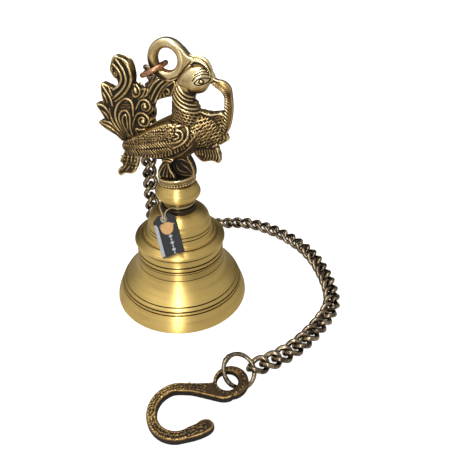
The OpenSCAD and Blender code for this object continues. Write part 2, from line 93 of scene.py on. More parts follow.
def length_along(line):
    """How far along a line each of its points is."""
    return np.concatenate([[0], np.cumsum(np.linalg.norm(np.diff(line, axis=0), axis=1))])


def rise(value, start, end):
    """0 at the start, 1 at the end and level beyond them."""
    return np.clip((value - start) / (end - start), 0, 1)


def merge(shapes):
    """Several shapes as one."""
    points, faces, base = [], [], 0
    for p, f in shapes:
        points.append(p)
        faces += [tuple(k + base for k in face) for face in f]
        base += len(p)
    return np.vstack(points), faces


def frames_along(line, closed=False):
    """Tangent and two cross directions at each point, carried along without twist."""
    if closed:
        tangent = unit(np.roll(line, -1, 0) - np.roll(line, 1, 0))
    else:
        tangent = unit(np.gradient(line, axis=0))
    side = np.cross(tangent[0], [0, 1, 0] if abs(tangent[0][1]) < 0.9 else [1, 0, 0])
    sides = []
    for t in tangent:
        side = unit(side - t * (side @ t))
        sides.append(side)
    sides = np.array(sides)
    if closed:
        drift = math.atan2(sides[0] @ np.cross(tangent[0], sides[-1]), sides[0] @ sides[-1])
        turn = np.linspace(0, drift, len(line))[:, None]
        sides = sides * np.cos(turn) + np.cross(tangent, sides) * np.sin(turn)
    return tangent, sides, np.cross(tangent, sides)


def sweep(line, radius, sides=12, closed=False):
    """A round tube along a line, its radius one number or one for each point, with domed ends."""
    line = np.array(line, float)
    radius = np.broadcast_to(np.asarray(radius, float), len(line)).copy()
    t, u, v = frames_along(line, closed)
    if not closed:
        dome = np.radians([15, 45, 70])
        head, tail = ([line[end] + sign * t[end] * radius[end] * math.cos(a) for a in dome]
                      for end, sign in ((0, -1), (-1, 1)))
        line = np.vstack([head, line, tail[::-1]])
        radius = np.concatenate([radius[0] * np.sin(dome), radius, radius[-1] * np.sin(dome[::-1])])
        u, v = (np.vstack([w[:1]] * 3 + [w] + [w[-1:]] * 3) for w in (u, v))
    a = round_angles(sides)[None, :, None]
    ring = line[:, None] + radius[:, None, None] * (u[:, None] * np.cos(a) + v[:, None] * np.sin(a))
    return ring.reshape(-1, 3), grid_faces(len(line), sides, True) if closed else capped(len(line), sides)


def lathe(profile, sides=160):
    """A closed outline of (radius, height) turned about Z."""
    p = np.array(profile, float)
    a = round_angles(sides)
    points = np.stack([p[:, None, 0] * np.cos(a), p[:, None, 0] * np.sin(a),
                       np.repeat(p[:, 1:2], sides, 1)], -1)
    return points.reshape(-1, 3), grid_faces(len(p), sides, True)


def loft(stations):
    """A closed body through stations of (x, z, half height, half width, y), oval across its line."""
    s = spline(stations, 4)
    along = unit(np.gradient(s[:, :2], axis=0))
    a = round_angles(32)
    high, wide = s[:, 2:3] * np.cos(a), s[:, 3:4] * np.sin(a)
    ring = np.stack([s[:, :1] - along[:, 1:] * high, s[:, 4:5] + wide,
                     s[:, 1:2] + along[:, :1] * high], -1)
    return ring.reshape(-1, 3), capped(len(s), len(a))


def plate(outline, depth, y=0.0, smooth=4):
    """A flat casting from an outline of (x, z), its edges eased."""
    p = spline(outline, smooth, closed=True)
    inward = unit(np.roll(p, -1, 0) - np.roll(p, 1, 0))[:, ::-1] * [-1, 1]
    area = np.sum(p[:, 0] * np.roll(p[:, 1], -1) - np.roll(p[:, 0], -1) * p[:, 1])
    inward *= 1 if area > 0 else -1
    half = depth / 2
    rows = [(0.55, -half), (0.12, 0.55 - half), (0, 1.2 - half), (0, half - 1.2),
            (0.12, half - 0.55), (0.55, half)]
    points = np.vstack([np.stack([p[:, 0] + inward[:, 0] * e, np.full(len(p), y + d),
                                  p[:, 1] + inward[:, 1] * e], -1) for e, d in rows])
    return points, capped(len(rows), len(p))


def blob(centre, size, turn=0.0, rings=8):
    """An egg-shaped lump, turned in the XZ plane."""
    a = np.linspace(0, math.pi, rings)
    points, faces = sweep([[math.cos(k), 0, 0] for k in a[1:-1]], [math.sin(k) for k in a[1:-1]], 10)
    points = np.clip(points, -1, 1) * size
    c, s = math.cos(turn), math.sin(turn)
    points = np.stack([points[:, 0] * c - points[:, 2] * s, points[:, 1],
                       points[:, 0] * s + points[:, 2] * c], -1)
    return points + centre, faces


def around(centre, radius, start, end, count):
    """(x, z) points on a circle from one angle to another, in degrees."""
    a = np.radians(np.linspace(start, end, count))
    return [(centre[0] + radius * math.cos(k), centre[1] + radius * math.sin(k)) for k in a]


def turned_by(points, axis, degrees):
    """Points turned about X, Y or Z."""
    c, s = math.cos(math.radians(degrees)), math.sin(math.radians(degrees))
    j, k = (axis + 1) % 3, (axis + 2) % 3
    out = np.array(points, float)
    out[:, j], out[:, k] = points[:, j] * c - points[:, k] * s, points[:, j] * s + points[:, k] * c
    return out


def in_plane(points, y=0.0):
    """(x, z) points as points at one depth."""
    p = np.array(points, float)
    return np.stack([p[:, 0], np.full(len(p), y), p[:, 1]], -1)


def both_sides(shape):
    """A shape on the bird's right with its mirror image on the left."""
    points, faces = shape
    return merge([shape, (points * [1, -1, 1], [f[::-1] for f in faces])])


# ---------------------------------------------------------------- pieces


def mesh_of(shape, name):
    mesh = bpy.data.meshes.new(name)
    mesh.from_pydata(np.asarray(shape[0]).tolist(), [], shape[1])
    mesh.validate()
    return mesh


def piece(name, shape, material, body, replaces=(), smooth=True):
    """A mesh piece of the object, from a shape in mm."""
    mesh = mesh_of((np.asarray(shape[0]) * MM, shape[1]), name)
    obj = bpy.data.objects.new(name, mesh)
    bpy.context.scene.collection.objects.link(obj)
    mesh.polygons.foreach_set("use_smooth", [smooth] * len(mesh.polygons))
    mesh.materials.append(material)
    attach(obj, body)
    if replaces:
        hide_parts(*replaces)
    return obj


def melted(shapes, voxel):
    """Overlapping closed shapes melted into one casting: (points, faces, edges)."""
    obj = bpy.data.objects.new("melt", mesh_of(merge(shapes), "melt"))
    bpy.context.scene.collection.objects.link(obj)
    melt = obj.modifiers.new("melt", "REMESH")
    melt.mode = "VOXEL"
    melt.voxel_size = voxel
    melt.adaptivity = 0
    mesh = bpy.data.meshes.new_from_object(obj.evaluated_get(bpy.context.evaluated_depsgraph_get()))
    bpy.data.objects.remove(obj)
    points = np.empty(len(mesh.vertices) * 3)
    mesh.vertices.foreach_get("co", points)
    edges = np.empty(len(mesh.edges) * 2, int)
    mesh.edges.foreach_get("vertices", edges)
    faces = [tuple(f.vertices) for f in mesh.polygons]
    bpy.data.meshes.remove(mesh)
    return points.reshape(-1, 3), faces, edges.reshape(-1, 2)


def relaxed(points, edges, rounds, pull=0.5):
    """Each point moved towards the middle of its neighbours, several times."""
    count = np.bincount(edges.ravel(), minlength=len(points))[:, None].clip(1)
    p = points.copy()
    for _ in range(rounds):
        total = np.stack([np.bincount(edges[:, 0], p[edges[:, 1], k], len(p))
                          + np.bincount(edges[:, 1], p[edges[:, 0], k], len(p))
                          for k in range(3)], -1)
        p += pull * (total / count - p)
    return p


def normals_of(points, faces):
    quads = np.array([f if len(f) == 4 else f + f[-1:] for f in faces])
    n = np.cross(points[quads[:, 2]] - points[quads[:, 0]], points[quads[:, 3]] - points[quads[:, 1]])
    total = np.stack([sum(np.bincount(quads[:, c], n[:, k], len(points)) for c in range(4))
                      for k in range(3)], -1)
    return unit(total)


def casting(name, shapes, material, body, replaces, tone, voxel=0.3, carve=None, rub=(2.4, 0.75)):
    """Shapes melted into one cast piece with a colour attribute: patina, 0 in hollows and 1 on ridges, plus
    the painted light and shade that tone adds.
    """
    points, faces, edges = melted(shapes, voxel)
    points = relaxed(points, edges, 2, 0.35)
    normal = normals_of(points, faces)
    if carve:
        points = points + normal * carve(points, normal)[:, None]
        normal = normals_of(points, faces)
    # tone adds the casting's painted light and shade to the patina value
    wear_and_shade = EVEN_WEAR + tone(points, normal)
    for gain, rounds in zip(rub, (8, 45)):  # how far each point stands above its near and wide surroundings
        wear_and_shade += gain * np.sum((points - relaxed(points, edges, rounds)) * normal, 1)
    obj = piece(name, (points, faces), material, body, replaces)
    layer = obj.data.attributes.new("wear_and_shade", "FLOAT", "POINT")
    layer.data.foreach_set("value", relaxed(wear_and_shade[:, None].repeat(3, 1), edges, 1)[:, 0].clip(0, 1))
    return obj


# ---------------------------------------------------------------- materials


class Nodes:
    """The nodes of a material or a world, made and joined by short calls."""

    def __init__(self, owner):
        owner.use_nodes = True
        self.owner = owner
        self.tree = owner.node_tree
        self.shader = next(n for n in self.tree.nodes if n.bl_idname in (
            "ShaderNodeBsdfPrincipled", "ShaderNodeBackground"))

    def add(self, kind, inputs=None, **settings):
        node = self.tree.nodes.new(kind)
        for key, value in settings.items():
            setattr(node, key, value)
        for key, value in (inputs or {}).items():
            self.put(node.inputs[key], value)
        return node

    def put(self, socket, value):
        if isinstance(value, bpy.types.NodeSocket):
            self.tree.links.new(value, socket)
        else:
            socket.default_value = value

    def set(self, **inputs):
        for key, value in inputs.items():
            self.put(self.shader.inputs[key.replace("_", " ")], value)

    def where(self):
        """Position in the object's frame."""
        return self.add("ShaderNodeTexCoord").outputs["Object"]

    def noise(self, scale, detail=3.0, vector=None, rough=0.55):
        return self.add("ShaderNodeTexNoise", {"Vector": vector or self.where(), "Scale": scale,
                                               "Detail": detail, "Roughness": rough}).outputs["Fac"]

    def math(self, operation, a, b=0.0, c=0.0):
        node = self.add("ShaderNodeMath", operation=operation)
        for socket, value in zip(node.inputs, (a, b, c)):
            self.put(socket, value)
        return node.outputs[0]

    def total(self, *terms, plus=0.0):
        """A number and each term's value times its weight, added up."""
        for value, weight in terms:
            plus = self.math("MULTIPLY_ADD", value, weight, plus)
        return plus

    def span(self, value, low, high, new_low=0.0, new_high=1.0, **settings):
        inputs = {"Value": value, "From Min": low, "From Max": high, "To Min": new_low, "To Max": new_high}
        return self.add("ShaderNodeMapRange", inputs, **settings).outputs["Result"]

    def ramp(self, value, stops):
        node = self.add("ShaderNodeValToRGB", {"Fac": value})
        points = node.color_ramp.elements
        while len(points) < len(stops):
            points.new(0.5)
        for point, (place, colour) in zip(points, stops):
            point.position = place
            point.color = (*colour, 1)
        return node.outputs["Color"]

    def wear_and_shade(self):
        return self.add("ShaderNodeAttribute", attribute_name="wear_and_shade").outputs["Fac"]

    def tarnish_and_shade(self, metal):
        """A metal's colour, black-brown where the attribute is 0: tarnish in the grooves and painted shade
        under the bell's flange.
        """
        mix = self.add("ShaderNodeMix", data_type="RGBA")
        colours = [socket for socket in mix.inputs if socket.type == "RGBA"]
        self.put(mix.inputs["Factor"], self.span(self.wear_and_shade(), 0.1, 0.9))
        self.put(colours[0], (0.02, 0.011, 0.004, 1))
        self.put(colours[1], metal)
        return [socket for socket in mix.outputs if socket.type == "RGBA"][0]

    def bump(self, height, distance, strength=0.5):
        return self.add("ShaderNodeBump", {"Height": height, "Distance": distance,
                                           "Strength": strength}).outputs["Normal"]


def material_nodes(name):
    return Nodes(bpy.data.materials.new(name))


def turned_brass(name, tint, dark, roughness=0.4, grooved=True):
    """Lathe-turned brass: fine rings round Z that draw the light into streaks, tarnish in the grooves and
    painted shade under the flange.
    """
    m = material_nodes(name)
    x, y, z = m.add("ShaderNodeSeparateXYZ", {"Vector": m.where()}).outputs
    radius = m.math("SQRT", m.total((x, x), (y, y)))
    turned = m.add("ShaderNodeCombineXYZ", {"X": radius, "Y": m.math("MULTIPLY", x, 0.03), "Z": z}).outputs[0]
    rings = m.noise(2400, 2.0, turned, 0.7)
    bands = m.noise(330, 3.0, turned)
    clouds = m.noise(38, 5.0)
    specks = m.span(m.noise(900, 2.0), 0.7, 0.78)
    tone = m.total((bands, 0.5), (clouds, 0.5), (specks, -0.3))
    metal = m.ramp(tone, [(0.28, dark), (0.5, tint), (0.75, [min(1, c * 1.1) for c in tint])])
    m.set(Base_Color=m.tarnish_and_shade(metal) if grooved else metal, Metallic=1.0, Anisotropic=0.93,
          Anisotropic_Rotation=0.25,
          Roughness=m.span(m.total((rings, 1), (clouds, 1)), 0.7, 1.3, roughness - 0.05, roughness + 0.08),
          Tangent=m.add("ShaderNodeTangent", direction_type="RADIAL", axis="Z").outputs["Tangent"],
          Normal=m.bump(m.total((rings, 1), (bands, 0.6)), 0.00005))
    return m.owner


def antique_brass(name, polish=0.0):
    """Cast brass with black-brown patina in its hollows, rubbed golden on its ridges, with the painted light
    and shade of each casting's tone.
    """
    m = material_nodes(name)
    grain, grained = m.noise(900, 4.0), 0.22
    mottle, mottled = m.noise(160, 4.0), 0.35
    worn_and_lit = m.total((m.wear_and_shade(), 1), (grain, grained), (mottle, mottled), plus=polish - (grained + mottled) / 2)
    colour = m.ramp(worn_and_lit, [(0.2, (0.012, 0.008, 0.005)), (0.38, (0.06, 0.036, 0.016)),
                           (0.52, (0.28, 0.17, 0.06)), (0.68, (0.6, 0.43, 0.18)),
                           (0.88, (0.94, 0.79, 0.46))])
    m.set(Base_Color=colour, Metallic=m.span(worn_and_lit, 0.2, 0.5, 0.55, 1.0),
          Roughness=m.span(worn_and_lit, 0.25, 0.85, 0.62, 0.24), Normal=m.bump(grain, 0.00012))
    return m.owner


def dark_bronze(name, low, high, roughness):
    """Oiled dark bronze wire, lighter where it rubs."""
    m = material_nodes(name)
    scuff = m.noise(700, 4.0)
    tone = m.total((scuff, 0.5), (m.noise(120, 3.0), 0.5))
    m.set(Base_Color=m.ramp(tone, [(0.38, low), (0.62, high)]), Metallic=1.0,
          Roughness=m.span(tone, 0.3, 0.7, roughness + 0.1, roughness - 0.06),
          Normal=m.bump(scuff, 0.00008, 0.4))
    return m.owner


def plain(name, colour, roughness, grain=1500.0, depth=0.00005, metallic=0.0):
    """A flat finish with a fine grain in its colour and surface."""
    m = material_nodes(name)
    speck = m.noise(grain, 4.0)
    m.set(Base_Color=m.ramp(speck, [(0.35, [c * 0.75 for c in colour]), (0.65, colour)]), Metallic=metallic,
          Roughness=m.span(speck, 0.3, 0.7, roughness + 0.06, roughness - 0.06),
          Normal=m.bump(speck, depth))
    return m.owner


BELL_BRASS = turned_brass("bell_brass", (0.82, 0.59, 0.2), (0.58, 0.4, 0.12))
# painted shade: a darker copy of the bell brass for the crown fittings and the clapper inside the bell
SHADED_INNER_BRASS = turned_brass("inner_brass", (0.45, 0.31, 0.11), (0.26, 0.17, 0.06), 0.42, False)
CAST_BRASS = antique_brass("cast_brass")
NECK_DARK = plain("neck_dark", (0.05, 0.035, 0.02), 0.45, metallic=0.8)
COPPER_WIRE = dark_bronze("copper_wire", (0.3, 0.12, 0.06), (0.72, 0.4, 0.24), 0.3)
CHAIN_BRONZE = dark_bronze("chain_bronze", (0.022, 0.016, 0.01), (0.44, 0.35, 0.23), 0.2)
HOOK_BRONZE = antique_brass("hook_bronze", -0.04)
CARD = plain("card", (0.012, 0.012, 0.015), 0.55)
PRINT_TAN = plain("print_tan", (0.62, 0.36, 0.14), 0.6)
PRINT_GREY = plain("print_grey", (0.4, 0.42, 0.46), 0.6)
TWINE = plain("twine", (0.5, 0.38, 0.22), 0.8, 2500.0, 0.0001)
EYELET = plain("eyelet", (0.45, 0.42, 0.36), 0.4, metallic=0.8)

# ---------------------------------------------------------------- camera, floor and light


def camera():
    data = bpy.data.cameras.new("camera")
    data.sensor_width = 36.0
    data.lens = 33.6
    obj = bpy.data.objects.new("camera", data)
    bpy.context.scene.collection.objects.link(obj)
    place, turn, down, roll = (0.0879, -0.2414, 0.2281), 12.65, 33.39, 1.15
    pose = Matrix.Translation(place)
    for degrees, axis in ((turn, "Z"), (90 - down, "X"), (roll, "Z")):
        pose = pose @ Matrix.Rotation(math.radians(degrees), 4, axis)
    obj.matrix_world = pose
    bpy.context.scene.camera = obj


def softbox(name, at, aim, size, power):
    data = bpy.data.lights.new(name, "AREA")
    data.shape = "RECTANGLE"
    data.size, data.size_y = size
    data.energy = power
    obj = bpy.data.objects.new(name, data)
    bpy.context.scene.collection.objects.link(obj)
    obj.location = at
    obj.rotation_euler = (Vector(aim) - Vector(at)).to_track_quat("-Z", "Y").to_euler()


def surroundings():
    """A pale room, lighter above and on the left for the brass to mirror, a white wall where it is seen."""
    w = Nodes(bpy.data.worlds.new("studio"))
    place = w.add("ShaderNodeTexCoord").outputs["Generated"]

    def fade(towards, low, high, start=-0.75, end=0.75):
        along = w.add("ShaderNodeVectorMath", {0: place, 1: towards}, operation="DOT_PRODUCT")
        return w.span(along.outputs["Value"], start, end, low, high, interpolation_type="SMOOTHSTEP")

    strength = fade((1, 0, 0), 0.72, 0.5)
    for other in (fade((-0.34, 0.94, 0), 1.05, 0.1, 0.05, 0.9), fade((0, 0, 1), 0.6, 1.22, -0.2, 0.9)):
        strength = w.math("MULTIPLY", strength, other)
    seen = w.add("ShaderNodeLightPath").outputs["Is Camera Ray"]
    w.set(Strength=w.math("MAXIMUM", strength, seen), Color=(1, 0.985, 0.96, 1))
    bpy.context.scene.world = w.owner


def studio():
    """A floor seen as white paper but mirrored as a dimmer one, a bent strip light and one light above."""
    floor = Nodes(plain("floor_paper", (0.62, 0.62, 0.62), 0.85, 300.0, 0.00001))
    seen = floor.add("ShaderNodeLightPath").outputs["Is Camera Ray"]
    floor.set(Specular_IOR_Level=0.1, Emission_Color=(1, 1, 1, 1),
              Emission_Strength=floor.math("MULTIPLY", seen, 0.84))
    half = 3.0
    corners = np.array([[-half, -half, 0], [half, -half, 0], [half, half, 0], [-half, half, 0]])
    obj = bpy.data.objects.new("floor", mesh_of((corners, [(0, 1, 2, 3)]), "floor"))
    obj.data.materials.append(floor.owner)
    bpy.context.scene.collection.objects.link(obj)
    middle, away = (0.03, 0, 0.06), 0.95
    for lift in np.radians((14, 44, 74)):
        level, height = away * math.cos(lift), away * math.sin(lift)
        softbox("strip", (0.16 * level, -0.99 * level, 0.06 + height), middle, (0.08, 0.5), 1.9)
    softbox("top", (-0.25, 0.1, 1.2), middle, (0.9, 0.7), 4)
    bpy.context.scene.view_settings.view_transform = "Standard"


camera()
surroundings()
studio()

# ---------------------------------------------------------------- chain and string

FLOOR_Z = 4.5  # height of the route on the floor, and of a flat link's middle
FLAT_Z = 4.1
# The chain's route through the middles of its links, from the crown ring to the hook ring
CHAIN_ROUTE = [
    (-17.5, 8.4, 161.3), (-20, 13.2, 153.5), (-23, 17, 143), (-25.5, 19.6, 132), (-28, 21.4, 118),
    (-29.5, 22.4, 102), (-30, 22.7, 84), (-30, 22.7, 66), (-30.4, 23.1, 50), (-31.8, 24.6, 38),
    (-34.6, 27.3, 28), (-38.2, 31.4, 19), (-41.4, 37.4, 12), (-42.4, 45.2, 7.4), (-40.4, 53.6, 5.1)]
CHAIN_ROUTE += [(x, y, FLOOR_Z) for x, y in [
    (-35.5, 61.5), (-28, 69.4), (-17.5, 77.5), (-4.5, 85.5), (10, 92.5), (25, 97.5), (39, 98.5), (53, 95.5),
    (67, 89.5), (80, 81), (92, 70), (101, 57.5), (108, 43.5), (113.5, 28), (116.5, 13), (116, 1), (112, -11),
    (105, -26), (95.5, -41.5), (86.5, -52), (79, -59), (71.9, -64.5)]]
PITCH = 9.4
CHAIN_WIRE, CHAIN_WIDE = 3.5, 13


def curb_link():
    """A long ring of wire given a half twist, so that its neighbours lie flat against it."""
    a = round_angles(56)
    long, wide = (PITCH + CHAIN_WIRE + 0.25) / 2, (CHAIN_WIDE - CHAIN_WIRE) / 2
    x = long * np.sign(np.cos(a)) * np.abs(np.cos(a)) ** 0.92
    y = wide * np.sign(np.sin(a)) * np.abs(np.sin(a)) ** 0.85
    twist = math.radians(52) * x / long
    line = np.stack([x, y * np.cos(twist), y * np.sin(twist)], -1)
    return sweep(line, CHAIN_WIRE / 2, 12, closed=True)


def chain():
    """The links laid along the route, rolling from edge-on where they hang to flat on the floor."""
    route = spline(CHAIN_ROUTE, 8)
    run = length_along(route)
    count = round(run[-1] / PITCH) + 1
    step = run[-1] / (count - 1)

    def at(s):
        return np.array([np.interp(s, run, route[:, k]) for k in range(3)])

    link, faces = curb_link()
    links = []
    for i in range(count):
        p = at(i * step)
        t = unit(at(min((i + 0.5) * step, run[-1])) - at(max((i - 0.5) * step, 0)))
        lying = 1 - rise(p[2], FLOOR_Z, FLOOR_Z + 26)
        away = unit(np.array([p[0] * 0.6, p[1] - 14, 0]))
        face = away * (1 - lying) + np.array([0, 0, 1.0]) * lying
        n = unit(face - t * (face @ t))
        p = p - [0, 0, (FLOOR_Z - FLAT_Z) * lying ** 4]
        rock = math.radians(9 * math.sin(i * 2.1) + 5 * math.sin(i * 0.7))
        y = np.cross(n, t) * math.cos(rock) + n * math.sin(rock) * (1 - 0.75 * lying)
        y = unit(y - t * (y @ t))
        links.append((p + link @ np.stack([t, y, np.cross(t, y)]), faces))
    obj = piece("chain", merge(links), CHAIN_BRONZE, "bell", ["chain_drop", "chain_run"])
    return obj, route, run[-1]


CHAIN, CHAIN_LINE, CHAIN_LENGTH = chain()


def tag_string():
    """Three strands of twine from the card's hole, once round the neck and back."""
    high = 80.4
    knot = [(-4.6, -19.2, 75.7), (-6.4, -17, 79.6), (-9.7, -11.5, high)]
    loop = [(x, y, high) for x, y in around((0, 0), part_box("neck_washer")[1][0] / MM - 0.75, 205, -95, 16)]
    line = spline(knot + loop + [(-3.2, -16.9, high), (-3.5, -19.3, 75.7)], 6)
    _, u, v = frames_along(line)
    run = length_along(line)
    strands = []
    for phase in round_angles(3):
        a = (run * 2.4 + phase)[:, None]
        strands.append(sweep(line + 0.22 * (u * np.cos(a) + v * np.sin(a)), 0.27, 8))
    obj = piece("tag_twine", merge(strands), TWINE, "bell", ["tag_string"])


tag_string()

# ---------------------------------------------------------------- turned bell, neck and pedestal


def notch(r, z, half=0.62, deep=0.65):
    """A groove in a turned profile, dark with tarnish at its foot: (radius, height, polish)."""
    return [(r, z - half, 0.75), (r - 0.15, z - half * 0.8, 0.1), (r - deep, z - half * 0.45, 0.0),
            (r - deep, z + half * 0.45, 0.0), (r - 0.15, z + half * 0.8, 0.1), (r, z + half, 0.75)]


def bow(r, z, wide, high, start, end, count=8):
    """An elliptical stretch of a turned profile."""
    a = np.radians(np.linspace(start, end, count))
    return [(r + wide * math.cos(k), z + high * math.sin(k), 1.0) for k in a]


def polished(base, *points):
    """Bright points of a turned profile, their radii measured from a base: (radius, height, polish)."""
    return [(base + r, z, 1.0) for r, z in points]


def turned(name, profile, material, slot, replaces, sides=208):
    """A lathe-turned piece from (radius, height, polish), the polish also lowered for painted shade, every
    edge kept crisp by close rings.
    """
    p = np.array(profile, float)
    rows = []
    for a, b in zip(p, np.roll(p, -1, 0)):
        length = np.linalg.norm((b - a)[:2])
        near = min(0.12, length / 4)
        stops = [0, near] + list(np.linspace(near, length - near, max(2, int(length / 1.5)))[1:])
        rows += [a + (b - a) * k / max(length, 1e-6) for k in stops]
    rows = np.array(rows)
    obj = piece(name, lathe(rows[:, :2], sides), material, "bell", replaces)
    obj.data.attributes.new("wear_and_shade", "FLOAT", "POINT").data.foreach_set("value", np.repeat(rows[:, 2], sides))


MOUTH_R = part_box("bell_body")[1][0] / MM
CROWN_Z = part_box("bell_body")[1][2] / MM
NECK_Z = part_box("neck_washer")[1][2] / MM
WASHER_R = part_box("neck_washer")[1][0] / MM
COLLAR_R = WASHER_R - 1.7
BUN_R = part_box("pedestal")[1][0] / MM
PLATE_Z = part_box("pedestal")[1][2] / MM
WAIST_R, FLANGE_R, DOME_R = 31.0, 32.8, 22.6
WALL, STUD_R = 3.4, 4.05


def bell_shell():
    """The profile from the lip up the outside to the crown and back down the inside."""
    lip, waist, flange, dome, inner, top = MOUTH_R, WAIST_R, FLANGE_R, DOME_R, DOME_R - WALL, CROWN_Z - WALL
    skirt = [(waist + 1.7 + (lip - 9.3 - waist) * (1 - t) ** 1.7, 18.9 + 14 * t, 1.0)
             for t in np.linspace(0, 1, 14)]
    profile = [
        *polished(lip, (-3.4, 0), (-1.2, 0)), *bow(lip - 0.9, 0.9, 0.9, 0.9, -70, 20, 6),
        *polished(lip, (-0.35, 3.2), (-1.2, 6), (-2.5, 9), (-4, 12)), *notch(lip - 4.4, 13),
        *bow(lip - 5.2, 14, 0.6, 0.6, -50, 70, 5), *notch(lip - 5.4, 15.1, 0.7),
        *polished(lip, (-6.3, 16.8)), *notch(lip - 7.2, 18.1), *skirt,
        *notch(waist + 1.6, 33.5, 0.36, 0.5), *notch(waist + 0.6, 38.2, 0.36, 0.4),
        *notch(waist + 0.4, 39.9), *bow(waist - 0.2, 41.7, 0.8, 1.3, -70, 70, 6), *notch(waist + 0.3, 43.5),
        *polished(waist, (0, 45), (0, 48)),
        # painted shadow: low polish in the corner under the flange, where the flange shades the waist
        (waist, 48.8, 0.1), (flange - 1.9, 49.4, 0.25), (flange - 1.1, 49.9, 0.7),
        *bow(flange - 1.6, 51.5, 1.6, 1.6, -70, 65, 9), *polished(dome, (5.6, 54.6)),
        *notch(dome + 4.4, 55.1, 0.36, 0.6),
        *polished(dome, (3.3, 55.6), (3.3, 56.6), (2.7, 57.3), (1.3, 57.8), (0.7, 59.2)),
        *notch(dome + 0.5, 60.2, 0.38, 0.6), *polished(dome, (0.3, 61.4)),
        *notch(dome + 0.2, 62.7, 0.38, 0.6), *polished(dome, (0, 64), (-0.5, 66), (-1.5, 68)),
        *bow(dome - 9.8, 64.6, 9.4, CROWN_Z - 64.6, 28, 90, 16),
        *polished(STUD_R, (0, CROWN_Z), (0, top)),
        *polished(inner, (-9, top), (-5, top - 1), (-2, top - 3.4), (0, 64), (0, 60), (1, 56)),
        *polished(waist - WALL, (0, 49), (0, 40), (1, 33), (3.4, 26), (8, 20)),
        *polished(lip, (-5.6 - WALL, 13), (-6.3, 6), (-3.9, 0.3))]
    turned("bell_shell", profile, BELL_BRASS, "bell_brass", ["bell_body"])


def neck_and_pedestal():
    washer = polished(WASHER_R, (-0.3, CROWN_Z), (0, CROWN_Z + 0.4), (0, NECK_Z - 1), (-0.5, NECK_Z))
    washer = [(STUD_R, CROWN_Z, 1.0), *washer, (STUD_R, NECK_Z, 1.0)]
    turned("neck_ring", washer, NECK_DARK, "neck_dark", ["neck_washer"], 128)
    darker_collar = [(STUD_R, NECK_Z), (COLLAR_R - 0.4, NECK_Z), (COLLAR_R, NECK_Z + 0.3), (COLLAR_R, 81.8),
            (COLLAR_R - 0.7, 82.4), (COLLAR_R - 0.5, 83)]
    # the collar under the bun is made darker than the bun, with polish 0.4
    bun = [(r, z, 0.4) for r, z in darker_collar] + bow(BUN_R - 6.6, 88.2, 6.6, 5.6, -66, 20, 14)
    bun += polished(BUN_R, (-0.9, 90.8), (-1.7, 92.6), (-2.6, 94.2), (-3.4, PLATE_Z))
    turned("pedestal_bun", bun + [(STUD_R, PLATE_Z, 1.0)], BELL_BRASS, "bell_brass", ["pedestal"], 160)


bell_shell()
neck_and_pedestal()

# ---------------------------------------------------------------- the cast peacock

BODY = [(-37.6, 117.2, 0.6, 0.8, 0), (-35.4, 117.4, 3.4, 4.2, 0), (-30, 118.2, 6, 7.4, 0),
        (-20, 120.4, 9, 10.4, 0), (-8, 123.6, 12, 12.2, 0), (3, 127, 13.2, 12.4, 0),
        (11, 130.6, 10.6, 10.4, 0), (16.4, 133.2, 6.6, 7, 0), (19, 134.6, 1, 1.2, 0)]
NECK = [(6.5, 132, 10.5, 9.5, 0), (8.2, 140, 9.6, 8.8, 0), (7.9, 146, 8.8, 7.9, 0),
        (6.8, 151.5, 7.2, 6.8, 0), (8.4, 157, 6.4, 6.3, 0), (10, 160, 5.6, 6, 0)]
HEAD = [(2.8, 160.2, 0.8, 0.8, 0), (5, 161, 4.2, 4.2, 0), (9.6, 162.4, 7, 6.4, 0),
        (14.6, 163.9, 8.3, 7.2, 0), (19.4, 164.9, 7.6, 6.2, 0), (23.4, 164.8, 4.6, 3.6, 0),
        (25.4, 163.6, 1.6, 1.6, 0)]
WING = [(-34, 119, 1.5, 1, -6), (-30, 119.4, 4.4, 2, -7.4), (-20, 121.8, 7.2, 2.6, -9.8),
        (-8, 126, 9.4, 2.8, -11.2), (1, 130, 9.4, 2.8, -11), (7.6, 132.6, 7, 2.4, -10),
        (11.8, 134, 3.4, 1.6, -8.8), (13, 134.4, 0.8, 0.6, -8.2)]
LOOP_AT, LOOP_R, LOOP_WIRE = (-2.2, 174), 9.1, 2.8


class Skin:
    """A surface that ridges and beads are laid on, as seen from the bird's right."""

    def __init__(self, shapes):
        points, faces = merge(shapes)
        self.tree = BVHTree.FromPolygons(points.tolist(), faces)

    def lay(self, line):
        """(x, z) points dropped on the surface from the side."""
        laid = []
        for x, z in line:
            hit = self.tree.ray_cast(Vector((x, -60, z)), Vector((0, 1, 0)))[0]
            if hit:
                laid.append(list(hit))
        return np.array(laid)

    def ridge(self, line, radius, steps=4):
        laid = self.lay(spline(line, steps))
        return [sweep(laid, radius, 8)] if len(laid) > 2 else []

    def rope(self, line, count, length, radius, slant):
        """A band of slanting strands across a line."""
        path = spline(line, 12)
        strands = []
        for k in np.linspace(1, len(path) - 2, count).astype(int):
            along = unit(path[k + 1] - path[k - 1])
            c, s = math.cos(slant), math.sin(slant)
            across = np.array([along[0] * c - along[1] * s, along[0] * s + along[1] * c])
            strands += self.ridge([path[k] + across * length * w for w in (-0.5, -0.2, 0.2, 0.5)],
                                  radius, 2)
        return strands


def relief(lines, depth, radius):
    """Raised ridges on a flat casting's right face, each line with its own share of the radius."""
    shapes = []
    for share, line in lines:
        path = in_plane(spline(line, 6), -depth / 2)
        end = np.minimum(np.arange(len(path)), np.arange(len(path))[::-1])
        shapes.append(sweep(path, radius * share * (0.55 + 0.45 * np.clip(end / 5, 0, 1)), 8))
    return shapes


def spiral(centre, start, turns, r0, r1):
    """Points of a scroll that winds in to its eye."""
    count = max(4, int(abs(turns) * 10))
    k = np.linspace(0, 1, count)
    a = math.radians(start) + 2 * math.pi * turns * k
    r = r0 + (r1 - r0) * k
    return [(centre[0] + q * math.cos(b), centre[1] + q * math.sin(b)) for q, b in zip(r, a)]


def between(a, b, count):
    """Lines that fill the gap between two others of the same number of points."""
    a, b = np.array(a, float), np.array(b, float)
    return [a + (b - a) * k for k in np.linspace(0, 1, count)]


